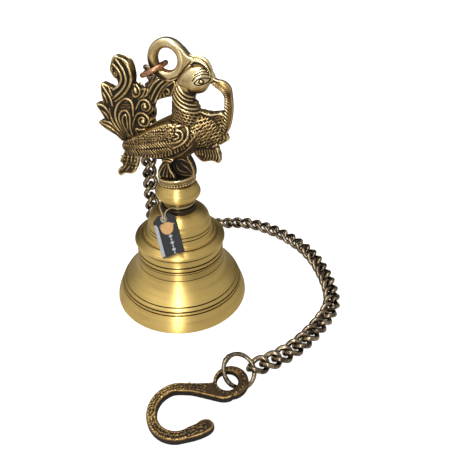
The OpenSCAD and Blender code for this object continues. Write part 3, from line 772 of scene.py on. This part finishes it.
# Lines cut into the head: the almond eye, the arcs over it and the crest's lower edge
ENGRAVED = [
    [(15.4, 163.1), (17.2, 165.2), (19.8, 166.1), (22.4, 166), (24.2, 165.4), (22.6, 163.7), (19.7, 162.4),
     (17.1, 162.2), (15.4, 163.1)],
    [(18.1, 164), (18.7, 165.1), (19.9, 165.3), (20.8, 164.5), (20.6, 163.5), (19.5, 163.1), (18.4, 163.4),
     (18.1, 164)],
    [(14.4, 164.5), (16.6, 167), (20.2, 168.1), (23.2, 167.6), (24.4, 166.8)],
    [(15.6, 167.5), (18.9, 169.2), (21.8, 169.2), (23.6, 168.2)],
    [(17.2, 170.1), (20.2, 170.8), (22.4, 170.2)],
    [(12.8, 174.2), (9.7, 171.2), (7, 167.9), (4.2, 165.2), (-0.4, 163.4)],
    [(12.4, 172.6), (15.1, 173.2), (18.8, 172.9), (21.8, 171.4), (23.6, 168.8)]]


def engraved(points):
    """How deep in an engraved line each point lies, 0 to 1."""
    cuts = np.vstack([spline(line, 14) for line in ENGRAVED])
    tree = KDTree(len(cuts))
    for k, (x, z) in enumerate(cuts):
        tree.insert((x, z, 0), k)
    tree.balance()
    depth = np.zeros(len(points))
    for k in np.flatnonzero((points[:, 2] > 158) & (np.abs(points[:, 1]) > 1.6) & (points[:, 0] > -2)):
        away = tree.find((points[k, 0], points[k, 2], 0))[2]
        depth[k] = math.exp(-(away / 0.25) ** 2)
    return depth


def neck_shapes(skin):
    """Collar bands that fall forward across the throat, and rows of short feathers under them."""
    bands = between([(3.6, 162), (6.6, 158.4), (10, 155.8), (13.4, 154.2), (17, 153.4)],
                    [(-1, 155.6), (1.8, 151.8), (5.6, 148.4), (10.8, 146.2), (17, 145)], 5)
    shapes = [s for band in bands for s in skin.ridge(band, 0.72)]
    shade = np.random.default_rng(7)
    for row in range(12):
        for col in range(-7, 9):
            x = 8 + 2.2 * (col + 0.5 * (row % 2)) + 0.3 * row
            z = 147 - 1.75 * row - 0.3 * (x - 8)
            if -2.4 < x < 21 and not (x < 12.5 and z < 138 - 0.15 * x):
                tip = shade.uniform(-0.2, 0.2)
                dash = [(x - 0.85, z + 0.35), (x - 0.3, z - 0.2 + tip), (x + 0.35, z - 0.15 + tip),
                        (x + 0.9, z + 0.3)]
                shapes += skin.ridge(dash, 0.48, 2)
    return shapes


ROPES = [
    [(-31.6, 120), (-27, 121.2), (-20, 122.8), (-12, 124.9), (-4.6, 126.6), (2.6, 127.4), (7, 129.2)],
    [(-32.4, 118.6), (-27, 118.8), (-19.4, 119.4), (-12.4, 120.5), (-5.8, 122), (0.6, 124), (6, 126.4),
     (10.4, 130)],
    [(-31, 116.8), (-25.6, 116.2), (-19.3, 116.2), (-12.4, 117), (-5.5, 118.8), (1, 121.4), (7.6, 124.8),
     (12, 129)]]


def wing_shapes(skin):
    """Shoulder arcs, a stippled back with scrolls, and three rope bands along the flight feathers."""
    shapes = []
    outer = [(5.4, 138.2), (9.2, 138.3), (11.7, 135.6), (11.2, 131), (8, 127.6), (3.4, 125.2)]
    inner = [(5.4, 136), (8, 135.6), (9, 133), (7.8, 130.2), (4.6, 128.4)]
    for line, thick in ((outer, 0.95), (between(outer[:5], inner, 2)[1], 0.8)):
        shapes += skin.ridge(line, thick)
    shapes += skin.ridge([(5.2, 134), (6.6, 133.2), (6.2, 131.6), (4, 130.6)], 0.7)
    for k, (x, z) in enumerate([(1.4, 132.6), (-4.6, 130.6), (-11, 128.4), (-17.6, 126), (-24, 124)]):
        size = 2.4 - 0.22 * k
        shapes += skin.ridge(spiral((x, z), 200, -1.15, size, 0.5), 0.42, 2)
        shapes += skin.ridge([(x - 3.6, z - 1.8), (x - 2, z + size + 0.2), (x + 1, z + size + 1.2)], 0.4)
    shade = np.random.default_rng(11)
    for x in np.arange(-28, 5, 1.5):
        floor, roof = 123.6 + 0.2 * (x + 28), 125.6 + 0.48 * (x + 28)
        for z in np.arange(floor, roof, 1.4):
            at = (x + shade.uniform(-0.5, 0.5), z + shade.uniform(-0.4, 0.4))
            shapes += [blob(p, (0.5, 0.5, 0.4), shade.uniform(0, 3), 6) for p in skin.lay([at])]
    for line, count, slant in zip(ROPES, (25, 27, 24), (-52, -58, 60)):
        shapes += skin.rope(line, count, 2.7, 0.62, math.radians(slant))
    for a, b in zip(ROPES, ROPES[1:]):
        shapes += skin.ridge(between(spline(a, 2)[:13:2], spline(b, 2)[:13:2], 3)[1], 0.24)
    return shapes


def breast_shapes(skin):
    """Ridges that sweep under the breast to the tail's root."""
    keel = [(-15, 113.6), (-6, 113.8), (4, 118), (10.9, 123.4), (15, 129), (17.9, 135.4)]
    low = [(-5, 109.4), (0.6, 111), (7.4, 115.6), (13.4, 121.6), (17.2, 128), (19, 133.4)]
    shapes = [s for line in between(keel, low, 5) for s in skin.ridge(line, 0.5)]
    for k in range(5):
        shapes += skin.ridge([(11.4 + 1.6 * k, 126.4 + 2.1 * k), (12.6 + 1.5 * k, 128.8 + 1.8 * k),
                              (11.8 + 1.2 * k, 131.4 + 1.6 * k)], 0.7)
    for k in range(6):
        x = -27 + 4.6 * k
        shapes += skin.ridge([(x, 112.6 + 0.1 * k), (x + 2.4, 111.6), (x + 4.4, 112.8)], 0.5)
    return shapes


def loop_shapes():
    """The flat-faced loop, the web that joins it to the head, and the dotted crest."""
    a = round_angles(96)
    ring = np.stack([LOOP_AT[0] + LOOP_R * np.cos(a), 0 * a, LOOP_AT[1] + LOOP_R * np.sin(a)], -1)
    points, faces = sweep(ring, LOOP_WIRE, 28, closed=True)
    points[:, 1] = 4 * np.sign(points[:, 1]) * np.abs(points[:, 1] / LOOP_WIRE) ** 0.62
    web = [(4, 183), (7.8, 180.6), (11, 177.2), (14.6, 175.6), (12.4, 171), (9, 168), (4, 164), (-0.6, 162),
           (-5.4, 162.4), (-9.8, 165), (-12.4, 168), (-9, 169), (-4.8, 166.8), (1, 166.6), (4.8, 169.4),
           (6.4, 173.6), (6, 178)]
    crest = [(10.6, 175.6), (14, 176.2), (17.4, 175.8), (20.6, 174.2), (23, 170.8), (24.8, 166.2), (21, 164),
             (12, 166)]
    rim = [(10.2, 176.4), (13.4, 176), (17.1, 176), (20.6, 174.6), (22.8, 171.6), (24.2, 167.6), (25, 165)]
    shapes = [(points, faces), plate(web, 7.6), plate(crest, 6.2), sweep(in_plane(spline(rim, 6)), 1.3, 12)]
    dots = spline([(11, 174.4), (14.6, 174.6), (18, 174.2), (20.8, 172.6), (22.8, 169.6), (24, 166.8)], 12)
    for x, z in dots[::4]:
        shapes.append(blob((x, -3.3, z), (0.5, 0.6, 0.5)))
    for x, z in dots[2::4]:
        shapes.append(blob((x + 0.2, -2.9, z + 1), (0.42, 0.6, 0.42)))
    return shapes


def peacock_body():
    forms = [loft(BODY), loft(NECK), loft(HEAD), loft(WING)]
    skin = Skin(forms)
    near = [loft(WING)] + neck_shapes(skin) + wing_shapes(skin) + breast_shapes(skin)
    near += [blob(p, (0.75, 0.5, 0.75)) for p in skin.lay([(19.4, 164.2)])]
    loop = loop_shapes()
    shapes = [loft(BODY), loft(NECK), loft(HEAD)] + loop[:4] + [both_sides(merge(near + loop[4:]))]

    # painted light: surfaces facing up are made lighter; the tone also darkens the bottom, the back of the
    # neck, the tail end and the inside of the loop, lightens the head and loop, and darkens the engraved
    # lines
    def tone(p, n):
        x, _, z = p.T
        head = rise(z, 157, 160) * rise(x + 0.9 * (z - 160), -1, 2)  # the head and the loop, above the collar
        back = rise(x, 2, -2) * rise(z, 138, 144) * (1 - head)
        inner = rise(x, -3, -8) * rise(z, 164, 168)
        return (0.3 * head - 0.05 + 0.18 * n[:, 2] - 0.14 * rise(z, 116, 108) - 0.15 * back
                - 0.1 * rise(x, -24, -34) - 0.1 * inner - 0.85 * engraved(p))

    casting("peacock", shapes, CAST_BRASS, "bell",
            ["bird_body", "wing_left", "wing_right", "bird_neck", "bird_head", "crest_loop", "crest_ridge"],
            tone, carve=lambda p, n: -0.22 * engraved(p))


PLUME = [(-36.4, 172.4), (-34, 174.6), (-30.6, 173.4), (-28.8, 172), (-25.6, 171.4), (-23.9, 168), (-24, 164),
         (-24, 160.4),
         (-24.6, 152), (-25, 142), (-25.6, 132), (-25, 124), (-34.6, 120.6), (-39.8, 124.4),
         (-46.4, 128), (-51, 131.6), (-50.8, 133), (-46.4, 134.6), (-48.2, 139.4), (-51, 143.8),
         (-50.4, 145), (-46.2, 145.2), (-46.4, 150), (-46, 156.6), (-44, 157.8), (-37.6, 155.4),
         (-34.6, 157.4), (-34.6, 160.4), (-37, 162.4), (-38.4, 166.6)]
SCROLLS = [(-26, 158), (-23.6, 159), (-20.8, 156.4), (-15, 156.4), (-12.8, 147), (-12.4, 143.6),
           (-15.8, 140), (-13.8, 137.4), (-16.4, 134.6), (-19, 130.4), (-26, 128)]
NAPE = [(-15, 158.8), (-8, 163.4), (-1.6, 164.6), (3, 161), (0, 153.6), (-3.4, 152.2), (-9.4, 150),
        (-13.4, 146.8), (-16, 152)]
PLUME_RIDGES = [
    (1.2, [(-29.4, 173), (-25.8, 168.5), (-25, 161.5), (-27.8, 155.5), (-32.4, 150.5), (-37, 147.4)]),
    (1.1, [(-33.4, 172.4), (-29.4, 167), (-28.2, 161), (-30.6, 156), (-35, 151.8), (-38.6, 148.8)]),
    (1.1, [(-35.6, 169.6), (-32.2, 166), (-31.2, 161.5), (-33.6, 157.2), (-37.6, 154.4)]),
    (0.8, [(-36.6, 167.4), (-36.6, 164), (-34.4, 163.2), (-33.6, 165.2), (-35, 165.8)]),
    (0.8, [(-31.6, 173.6), (-26.6, 171.4), (-24.6, 167)]),
    (1.1, [(-44.6, 156.6), (-42, 153), (-40, 149), (-39.4, 144.5)]),
    (0.9, [(-44.8, 152), (-43.2, 149), (-42.6, 146)]),
    (0.9, [(-40.4, 156), (-39.4, 152.6), (-38.4, 150)]),
    (1.0, [(-49.6, 144.4), (-45.6, 143.6), (-42.8, 140.6), (-41.4, 136.5)]),
    (0.9, [(-47, 140.4), (-44.6, 138.4), (-43.2, 135.6)]),
    (1.0, [(-48.8, 132.4), (-43.5, 130.2), (-39, 127.2), (-34.4, 123.4)]),
    (1.0, [(-46.6, 133.8), (-42.6, 133), (-38.4, 129.6), (-33.4, 124)]),
    (0.9, [(-46, 129.6), (-41, 126.8), (-36, 123.2)]),
    (1.0, [(-41.8, 142), (-41, 136), (-38.4, 130.6), (-32.6, 124.6)])]
ARCHES = [
    (1.1, [(-30.6, 124.5), (-35.6, 130.5), (-38.2, 137.5), (-36.2, 144.5), (-31, 149.4), (-26.6, 148.4),
           (-25.6, 144.5), (-26, 139)]),
    (1.0, [(-29, 124.8), (-33.8, 130), (-35.8, 136.5), (-34, 141), (-30.4, 142), (-28.4, 138.5),
           (-28.8, 131), (-27.6, 125)]),
    (0.9, [(-30.6, 127.5), (-33.2, 132), (-33.4, 137), (-31.2, 139.2), (-30.6, 136), (-30.6, 130)])]
SCROLL_RIDGES = [
    (1.0, [(-26.8, 124.6), (-27.4, 131.5), (-25.4, 137.4)] + spiral((-20, 136.4), 160, -1.55, 5.4, 0.9)),
    (0.9, [(-24.2, 126.4), (-25.2, 130.4), (-22.6, 130.2), (-19.6, 131)]),
    (1.0, [(-24.4, 142.6)] + spiral((-17.6, 145.8), 170, -1.35, 4.6, 0.9)),
    (1.0, [(-22.2, 158.6), (-20.2, 155.8), (-21, 152.6), (-24, 151.4), (-25, 154.4), (-24, 157.2)]),
    (0.8, [(-22, 149.8), (-18.6, 152.4), (-17, 155.6)]),
    (0.8, [(-19.6, 151), (-16, 153), (-15, 156.6)])]
NAPE_RIDGES = [
    (1.0, [(-16, 151.6), (-14, 155.6), (-11, 160), (-7.6, 162.6)]),
    (1.0, [(-14.2, 148.8), (-11.6, 154), (-8, 159.2), (-3.4, 163)]),
    (1.0, [(-11.2, 148.8), (-8.8, 153.4), (-5.4, 158.4), (-0.6, 162.4)]),
    (0.9, [(-7.8, 151.2), (-6.2, 155.2), (-3, 159), (0.6, 161.4)]),
    (0.9, [(-4.6, 152.8)] + spiral((-3, 155.6), 200, -0.9, 2.4, 0.9))]


def peacock_tail():
    deep, shallow, thin = 6.4, 5.6, 4.6
    near = relief(PLUME_RIDGES + ARCHES, deep, 0.86) + relief(SCROLL_RIDGES, shallow, 0.86)
    near += relief(NAPE_RIDGES, thin, 0.84)
    near += [blob((-19.6, -3.2, 136.2), (1.5, 1.3, 1.5)), blob((-17.4, -3.2, 145.6), (1.3, 1.2, 1.3)),
             blob((-22.8, -2.6, 155), (1.5, 1.6, 2.4), 0.3), blob((-35, -3, 164.4), (1, 1.1, 1))]
    for k in range(5):  # the small lattice in the eye of the biggest feather
        lattice = [[(-37 + 1.9 * k, 145.6 + 1.2 * k * (4 - k) / 2), (-34.2 + 1.9 * k, 139.6 + 0.9 * k)],
                   [(-37.4 + 1.2 * k, 139.4 + 2 * k), (-29.6 + 0.6 * k, 141.4 + 1.6 * k)]]
        near += relief([(0.42, line) for line in lattice], deep, 1.1)
    shapes = [plate(PLUME, deep), plate(SCROLLS, shallow), plate(NAPE, thin), both_sides(merge(near))]

    # painted light: surfaces facing up are made lighter; the tone also makes the casting darker towards the
    # bottom and lighter towards the top
    def tone(p, n):
        return (-0.06 + 0.08 * n[:, 2] - 0.12 * rise(p[:, 2], 132, 122) + 0.1 * rise(p[:, 2], 165, 173))

    casting("peacock_tail", shapes, CAST_BRASS, "bell",
            ["tail_plume", "tail_scrolls", "nape_foliage"], tone)


GARLAND = [(24.4, 164.4), (27, 162.6), (30.4, 161.4), (33, 159.2), (34.3, 155), (34.7, 149.8), (34.4, 143.6),
           (33.4, 137.6), (32, 132.4)]
GARLAND_R = [1.8, 2.3, 3.2, 3.3, 2.7, 2.9, 3, 2.8, 1.8]
BREAST = [(12, 131.4, 10, 9, 0), (18, 133.2, 10.6, 7.4, 0), (24.4, 134.4, 10.6, 5, 0),
          (29.6, 135.4, 9.6, 3, 0), (31.4, 135.8, 7, 1.6, 0)]
FOLIAGE = [(14, 144), (21.4, 145.6), (25, 145), (31.6, 146.4), (32.6, 141), (30, 134), (28.4, 127.6),
           (27.6, 123.4), (20, 123), (13, 122.6)]
BREAST_TUFT = [(27.4, 124), (29.6, 119.8), (30.6, 114.2), (28.6, 112.9), (24.8, 114), (19, 112.6),
               (16, 114.2), (12.8, 117.8), (13.6, 123)]
REAR_TUFT = [(-34, 115.4), (-38, 110), (-40.2, 105.8), (-38.2, 103), (-42.4, 99.4), (-42.6, 96),
             (-40.6, 94.4), (-37.4, 96.8), (-31.4, 97.4), (-28.6, 101.2), (-27, 104.8), (-25.6, 114)]
LEAF_TIP = [(29.4, 134), (33, 134.6), (35.6, 129.4), (33, 127.2), (29.8, 125.2), (28.4, 129.4)]


def peacock_front():
    """The garland from the beak, the leaf at its end and the foliage that ties it to the breast."""
    line = in_plane(spline(GARLAND, 6))
    size = spline([(r, 0) for r in GARLAND_R], 6)[:, 0]
    near = []
    for k in range(4, len(line) - 1, 2):
        along = unit(line[k + 1] - line[k - 1])
        inner = np.array([along[2], 0, -along[0]])
        slant = math.atan2(along[2], along[0]) + 0.9
        near.append(blob(line[k] + inner * size[k] * 0.3 + [0, -size[k] * 0.93, 0], (1.7, 0.8, 0.5), slant))
    side = np.stack([-np.gradient(line[:, 2]), 0 * line[:, 0], np.gradient(line[:, 0])], -1)
    rim = line + side / np.linalg.norm(side, axis=1)[:, None] * size[:, None] * 0.72
    rim[:, 1] = -1.5
    near.append(sweep(rim, 0.6, 8))
    skin = Skin([loft(BREAST), plate(FOLIAGE, 6)])
    shade = np.random.default_rng(5)
    for row in range(11):
        for col in range(8):
            x = 14.6 + 2.4 * (col + 0.5 * (row % 2)) + shade.uniform(-0.5, 0.5)
            z = 123.8 + 2.0 * row + 0.3 * (x - 22) + shade.uniform(-0.35, 0.35)
            dash = [(x - 1.1, z - 0.8), (x - 0.3, z - 0.1), (x + 0.7, z + 0.5), (x + 1.2, z + 1.2)]
            near += skin.ridge(dash, 0.52, 2)
    near += relief([(1, [(18.6, 145.4), (23.6, 144.2), (30.2, 145.6)])], 6.2, 0.8)
    for k in range(9):
        near += relief([(0.7, [(13.8 + 1.9 * k, 114.4 + 0.9 * (8 - k) * (k < 3)), (15.4 + 1.8 * k, 117.6),
                               (14.8 + 1.7 * k, 121.6)])], 5.4, 0.7)
    veins = [(0.8, [(30.6, 133.4), (32.6, 130.6), (31, 126.6)]), (0.7, [(30, 131.4), (33.8, 129.6)])]
    near += relief(veins, 4, 0.8)
    shapes = [sweep(line, size, 18), loft(BREAST), plate(FOLIAGE, 6), plate(BREAST_TUFT, 5.4),
              plate(LEAF_TIP, 4), both_sides(merge(near))]

    # painted light: surfaces facing up are made lighter; the breast foliage is made a little darker
    def tone(p, n):
        foliage = rise(p[:, 0] - 0.12 * (p[:, 2] - 145), 30.5, 27.5) * rise(p[:, 2], 147, 144)
        return -0.02 - 0.05 * foliage + 0.16 * n[:, 2]

    casting("peacock_front", shapes, CAST_BRASS, "bell",
            ["beak_garland", "garland_leaf", "breast_foliage", "breast_tuft"], tone)


LEG = [(-4, 116), (-7.4, 113.4), (-7.4, 111.4), (-9.4, 108.4), (-10.8, 104), (-9.8, 99.4), (-3, 99.6),
       (1.6, 100.2), (1.2, 103.6), (-1.2, 107), (-1.6, 110.6), (1, 114.4)]
TOES = [[(-3.6, 112.4), (-6.6, 108.8), (-9.2, 104), (-9, 101.2)], [(-3, 111.6), (-5.4, 107), (-6.8, 102)],
        [(-2.6, 110.6), (-3.6, 106), (-4.2, 101.6)], [(-2.4, 109), (-1.6, 105.4), (-1.4, 101.8)],
        [(-2, 107.2), (0, 104), (0.8, 101.6)], [(-6.8, 112.6), (-4.4, 113.4), (-1.6, 113)]]
ROOT = [(-4, 100.6), (-3.4, 106), (-1, 112), (0, 118), (8.4, 119), (9.6, 114.4), (11.4, 111.2), (12.8, 107.4),
        (13.2, 103.4), (12, 100.6), (4, 100.4)]
ROOT_RIDGES = [[(1.4, 112.6), (5.4, 113.4), (9.2, 111.4)], [(1, 109), (2.4, 105.8), (5.4, 104.4), (9, 104.4)],
               [(3.8, 110.6), (8.4, 107.6), (11.8, 104)], [(2, 102.6), (7, 102.2), (12.2, 102.8)]]


def peacock_feet():
    """Legs with their claws, the root of the casting and the tuft under the tail."""
    leg_y, leg_deep = -5.6, 5.2
    near = [plate(LEG, leg_deep, leg_y)]
    for toe in TOES:
        near.append(sweep(in_plane(spline(toe, 5), leg_y - leg_deep / 2), 0.62, 8))
    near += relief([(1, line) for line in ROOT_RIDGES], 7, 0.5)
    veins = [(0.8, [(-36, 112), (-38.4, 106)]), (0.8, [(-33, 112.6), (-35, 105), (-39.6, 99)]),
             (0.8, [(-30.6, 112), (-32, 105), (-36, 99.4)]), (0.7, [(-28.4, 110), (-30, 104.6)])]
    near += relief(veins, 4.6, 0.6)
    for k in range(26):
        x, z = -28.6 - 2.6 * (k % 5) + 0.6 * (k // 5 % 2), 113 - 2.6 * (k // 5)
        near.append(blob((x, -2.3, z), (0.7, 0.5, 0.45), 0.8 * k, 6))
    shapes = [plate(ROOT, 7), plate(REAR_TUFT, 4.6), both_sides(merge(near))]

    # painted light: surfaces facing up are made lighter; the legs and root are set darker overall and the
    # rear tuft lighter
    def tone(p, n):
        return -0.2 + 0.12 * n[:, 2] + 0.14 * (p[:, 0] < -20)

    casting("peacock_feet", shapes, CAST_BRASS, "bell",
            ["perch", "leg_left", "leg_right", "rear_tuft"], tone, voxel=0.34)


def base_plate():
    """The disc that the bird stands on: a lighter rim over a fringe of beads, cast a little out of level."""
    low, high = (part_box("base_plate")[k][2] / MM for k in (0, 1))
    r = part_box("base_plate")[1][0] / MM
    profile = [(0, low), (r - 2.2, low), (r - 1.5, low + 0.6), (r - 1.3, low + 2.6), (r - 0.4, low + 3.2),
               (r - 0.2, low + 4.4), (r - 0.7, high - 0.6), (r - 1.6, high - 0.1), (r - 3, high - 0.7),
               (0, high - 0.9)]
    shapes = [lathe([(q + 0.01, z) for q, z in profile], 120)]
    a = round_angles(120)
    for radius, height, wire in ((r - 0.75, high - 0.75, 0.6), (r - 0.6, low + 2.9, 0.42)):
        ring = np.stack([radius * np.cos(a), radius * np.sin(a), 0 * a + height], -1)
        shapes.append(sweep(ring, wire, 10, closed=True))
    for k in round_angles(40):
        shapes.append(blob(((r - 1) * math.cos(k), (r - 1) * math.sin(k), low + 1.5), (0.85, 0.85, 1.0)))
    middle, lean, raised = np.array([0, 0, (low + high) / 2]), -5.5, np.array([0, 0, 0.35])
    tipped = [(turned_by(points - middle, 1, lean) + middle + raised, faces) for points, faces in shapes]
    # the tone makes the disc darker inside its rim
    casting("base_disc", tipped, CAST_BRASS, "bell", ["base_plate", "plate_beads"],
            lambda p, n: 0.04 - 0.4 * rise(np.hypot(p[:, 0], p[:, 1]), r - 2, r - 3.5), voxel=0.34)


base_plate()
peacock_body()
peacock_tail()
peacock_front()
peacock_feet()

# ---------------------------------------------------------------- rings, hook and tag


def wire_ring(name, node, radius, wire, tilt, turn, seam, material):
    """A ring bent from wire in place of the CAD one, its two ends brazed together in a lump."""
    middle = np.mean(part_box(node), 0) / MM
    a = np.radians(np.arange(0, 360, 3))
    line = np.stack([radius * np.cos(a), radius * np.sin(a), 0.12 * np.sin(2 * a)], -1)
    off = np.degrees(np.abs(np.angle(np.exp(1j * (a - math.radians(seam))))))
    lump = 1 + 0.34 * np.exp(-(off / 14) ** 2) - 0.3 * np.exp(-(off / 3.5) ** 2) + 0.03 * np.sin(5 * a)
    ring, faces = sweep(line, wire / 2 * lump, 14, closed=True)
    ring = turned_by(turned_by(ring, 1, tilt), 2, turn)
    return piece(name, (ring + middle, faces), material, node, [node])


HOOK_AT, HOOK_TURN, HOOK_LIFT, HOOK_THICK = (56, -82.6, 3.4), 20, -3.9, 5.0
EYE_R, BEND = 6.6, (-30.6, -15.2)


def hook_shapes():
    """The hook lying flat, seen from above in X and Z, the hole of its eye at the origin."""
    tip = [(-22.4, -32.9), (-17, -31.8), (-12.4, -29.8), (-10.6, -26.6), (-13.2, -23.4), (-17.4, -23),
           (-20.8, -24.8)]
    top = [(-9.2, 0.2), (-12, 0.3), (-19.7, 1.2), (-26, 2.4)]
    under = [(-25.6, -4), (-21.1, -5.2), (-11.5, -9.3), (-4, -12.2), (1.6, -11.4)]
    outline = top + around(BEND, 18.4, 92, 280, 13) + tip + around(BEND, 12.3, 300, 98, 11) + under
    outline += around((0, 0), EYE_R + 0.7, 280, 182, 6)
    shapes = [plate(outline, HOOK_THICK, smooth=3)]
    a = round_angles(72)
    rows = [(0, 1.2), (0.1, 0.3), (0.3, 0), (0.75, 0), (0.94, 0.5), (1, 1.4), (1, 3.6), (0.94, 4.5),
            (0.75, 5), (0.3, 4.9), (0.1, 4.4), (0, 3.6)]
    ring = []
    for k, z in rows:
        x = (1 - k) * EYE_R * np.cos(a) + k * (2.1 + 10.9 * np.cos(a))
        y = (1 - k) * EYE_R * np.sin(a) + k * (-0.4 + 10.9 * np.sin(a))
        ring.append(np.stack([x, z - HOOK_THICK / 2 + 0 * a, y], -1))
    shapes.append((np.vstack(ring), grid_faces(len(rows), len(a), True)))
    return shapes


def hook_marks():
    """Punched leaves and dots along the hook's face: (x, z, size, turn)."""
    shade = np.random.default_rng(3)
    marks = []
    middle = spline([(-14, -3.6), (-20, -1.4), (-26, -0.2)] + around(BEND, 15.3, 96, 296, 11)
                    + [(-19.6, -28.2), (-15.4, -27)], 6)
    for k in range(len(middle) - 1):
        along = unit(middle[k + 1] - middle[k])
        for side in (-1.7, 0, 1.7):
            x, z = middle[k] + np.array([-along[1], along[0]]) * side + shade.uniform(-0.5, 0.5, 2)
            size = shade.uniform(0.35, 0.75)
            marks.append((x, z, size, math.atan2(along[1], along[0]) + shade.uniform(-1, 1)))
    for a in np.radians(np.arange(0, 360, 17)):
        marks.append((1.4 + 8.9 * math.cos(a), -0.3 + 8.9 * math.sin(a), 0.45, a))
    return marks


def cast_hook():
    shapes = hook_shapes()
    for x, z, size, turn in hook_marks():
        shapes.append(blob((x, -HOOK_THICK / 2, z), (size * 1.3, 0.34, size * 0.7), turn, 6))
    placed = []
    for points, faces in shapes:
        flat = turned_by(points, 0, -90) + [0, 0, HOOK_THICK / 2]
        placed.append((turned_by(turned_by(flat, 1, HOOK_LIFT), 2, HOOK_TURN) + HOOK_AT, faces))

    # painted light: the broad faces are made lighter than the side walls, more so towards the bend
    def tone(p, n):
        return -0.24 + (0.19 + 0.13 * rise(p[:, 0], 40, 16)) * np.abs(n[:, 2])

    return casting("cast_hook", placed, HOOK_BRONZE, "hook", ["hook"], tone, rub=(2.6, 0.2))


TAG_W, TAG_L, TAG_T, TAG_TOP, TAG_HOLE_R = 16.5, 28, 0.9, 3.2, 1.6


def on_tag(points):
    """Points on the card, its hole at the origin and its length along -Y, placed on the bell."""
    leaning = turned_by(turned_by(np.array(points, float), 2, 117), 1, 57)
    return turned_by(leaning + [18, -2.8, 74.6], 2, -95)


def card(outline, low, high, hole):
    """A convex card cut to an outline round the origin, with a round hole and eased edges."""
    ease = 0.12
    a = round_angles(160)
    ray = np.stack([np.cos(a), np.sin(a)], -1)
    p = np.array(outline, float)
    reach = np.full(len(a), np.inf)
    for start, end in zip(p, np.roll(p, -1, 0)):
        out = np.array([end[1] - start[1], start[0] - end[0]])
        facing = ray @ out
        reach = np.where(facing > 1e-9, np.minimum(reach, (start @ out) / np.maximum(facing, 1e-9)), reach)
    rows = [(hole, low), (reach - ease, low), (reach, low + ease), (reach, high - ease), (reach - ease, high),
            (hole, high)]
    points = np.vstack([np.column_stack([ray * np.broadcast_to(r, len(a))[:, None], np.full(len(a), z)])
                        for r, z in rows])
    return points, grid_faces(len(rows), len(a), True)


def slab(outline, low, high):
    """A thin flat patch of print."""
    points = np.vstack([np.column_stack([outline, np.full(len(outline), z)]) for z in (low, high)])
    return points, capped(2, len(outline))


def tag_piece(name, shape, material, replaces=(), smooth=False):
    piece(name, (on_tag(shape[0]), shape[1]), material, "tag", replaces, smooth)


def hang_tag():
    """The card with a scalloped ornament in place of any lettering, and the twine through its hole."""
    side, foot = TAG_W / 2, TAG_TOP - TAG_L
    outline = [(-side, foot), (side, foot), (side, 0), (side / 2, TAG_TOP), (-side / 2, TAG_TOP), (-side, 0)]
    tag_piece("card_tag", card(outline, 0, TAG_T, TAG_HOLE_R), CARD, ["tag"])
    low, high = TAG_T - 0.02, TAG_T + 0.05
    fan = around((0.6, -6.2), 4.6, 200, 340, 7) + [(5.6, -4.4)]
    fan += [(0.6 + 5.4 * math.cos(k) * (1 + 0.16 * math.sin(6 * k)), -5.6 + 3 * math.sin(k))
            for k in np.linspace(0.1, math.pi - 0.1, 19)] + [(-4.4, -4.4)]
    tag_piece("tag_fan", slab(fan, low, high), PRINT_TAN)
    left, right = 0.2 - side, 2.6 - side
    strip = [(left, foot + 0.3), (right, foot + 0.3), (right, -4.2), (right - 1, -2.4), (left, -2.4)]
    petals = [around((1.6, -12.2 - 2.3 * k), 0.8 if k % 2 else 1.5, 0, 270, 4) for k in range(6)]
    tag_piece("tag_border", merge([slab(shape, low, high) for shape in [strip] + petals]), PRINT_GREY)
    a = np.linspace(0, 4 * math.pi, 60)
    loop = np.stack([0.35 * np.sin(a / 2), 1.75 + 2 * np.cos(a), TAG_T / 2 + 1.15 * np.sin(a)], -1)
    knot = [sweep(loop, 0.3, 8)]
    knot += [blob((0.2 * k, 3.9, 1 + 0.4 * k), (0.75, 0.6, 0.6), k) for k in (-1, 0, 1)]
    tag_piece("tag_knot", merge(knot), TWINE, smooth=True)


wire_ring("crown_wire", "crown_ring", 8, 3, -28, 0, 150, COPPER_WIRE)
HOOK_WIRE = wire_ring("hook_wire", "hook_ring", 10.4, 2.9, -29, 145.5, 12, CHAIN_BRONZE)
HOOK = cast_hook()
hang_tag()

# the crown fittings and clapper take the darker copy of the bell brass as painted shade; the tag eyelet gets
# its own metal
for cad_name in ("crown_washer", "crown_nut", "crown_stud", "clapper_eye", "clapper_link", "clapper_rod",
                 "clapper_ball", "tag_eyelet"):
    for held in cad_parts[cad_name].material_slots:
        held.link = "OBJECT"
        held.material = EYELET if cad_name == "tag_eyelet" else SHADED_INNER_BRASS
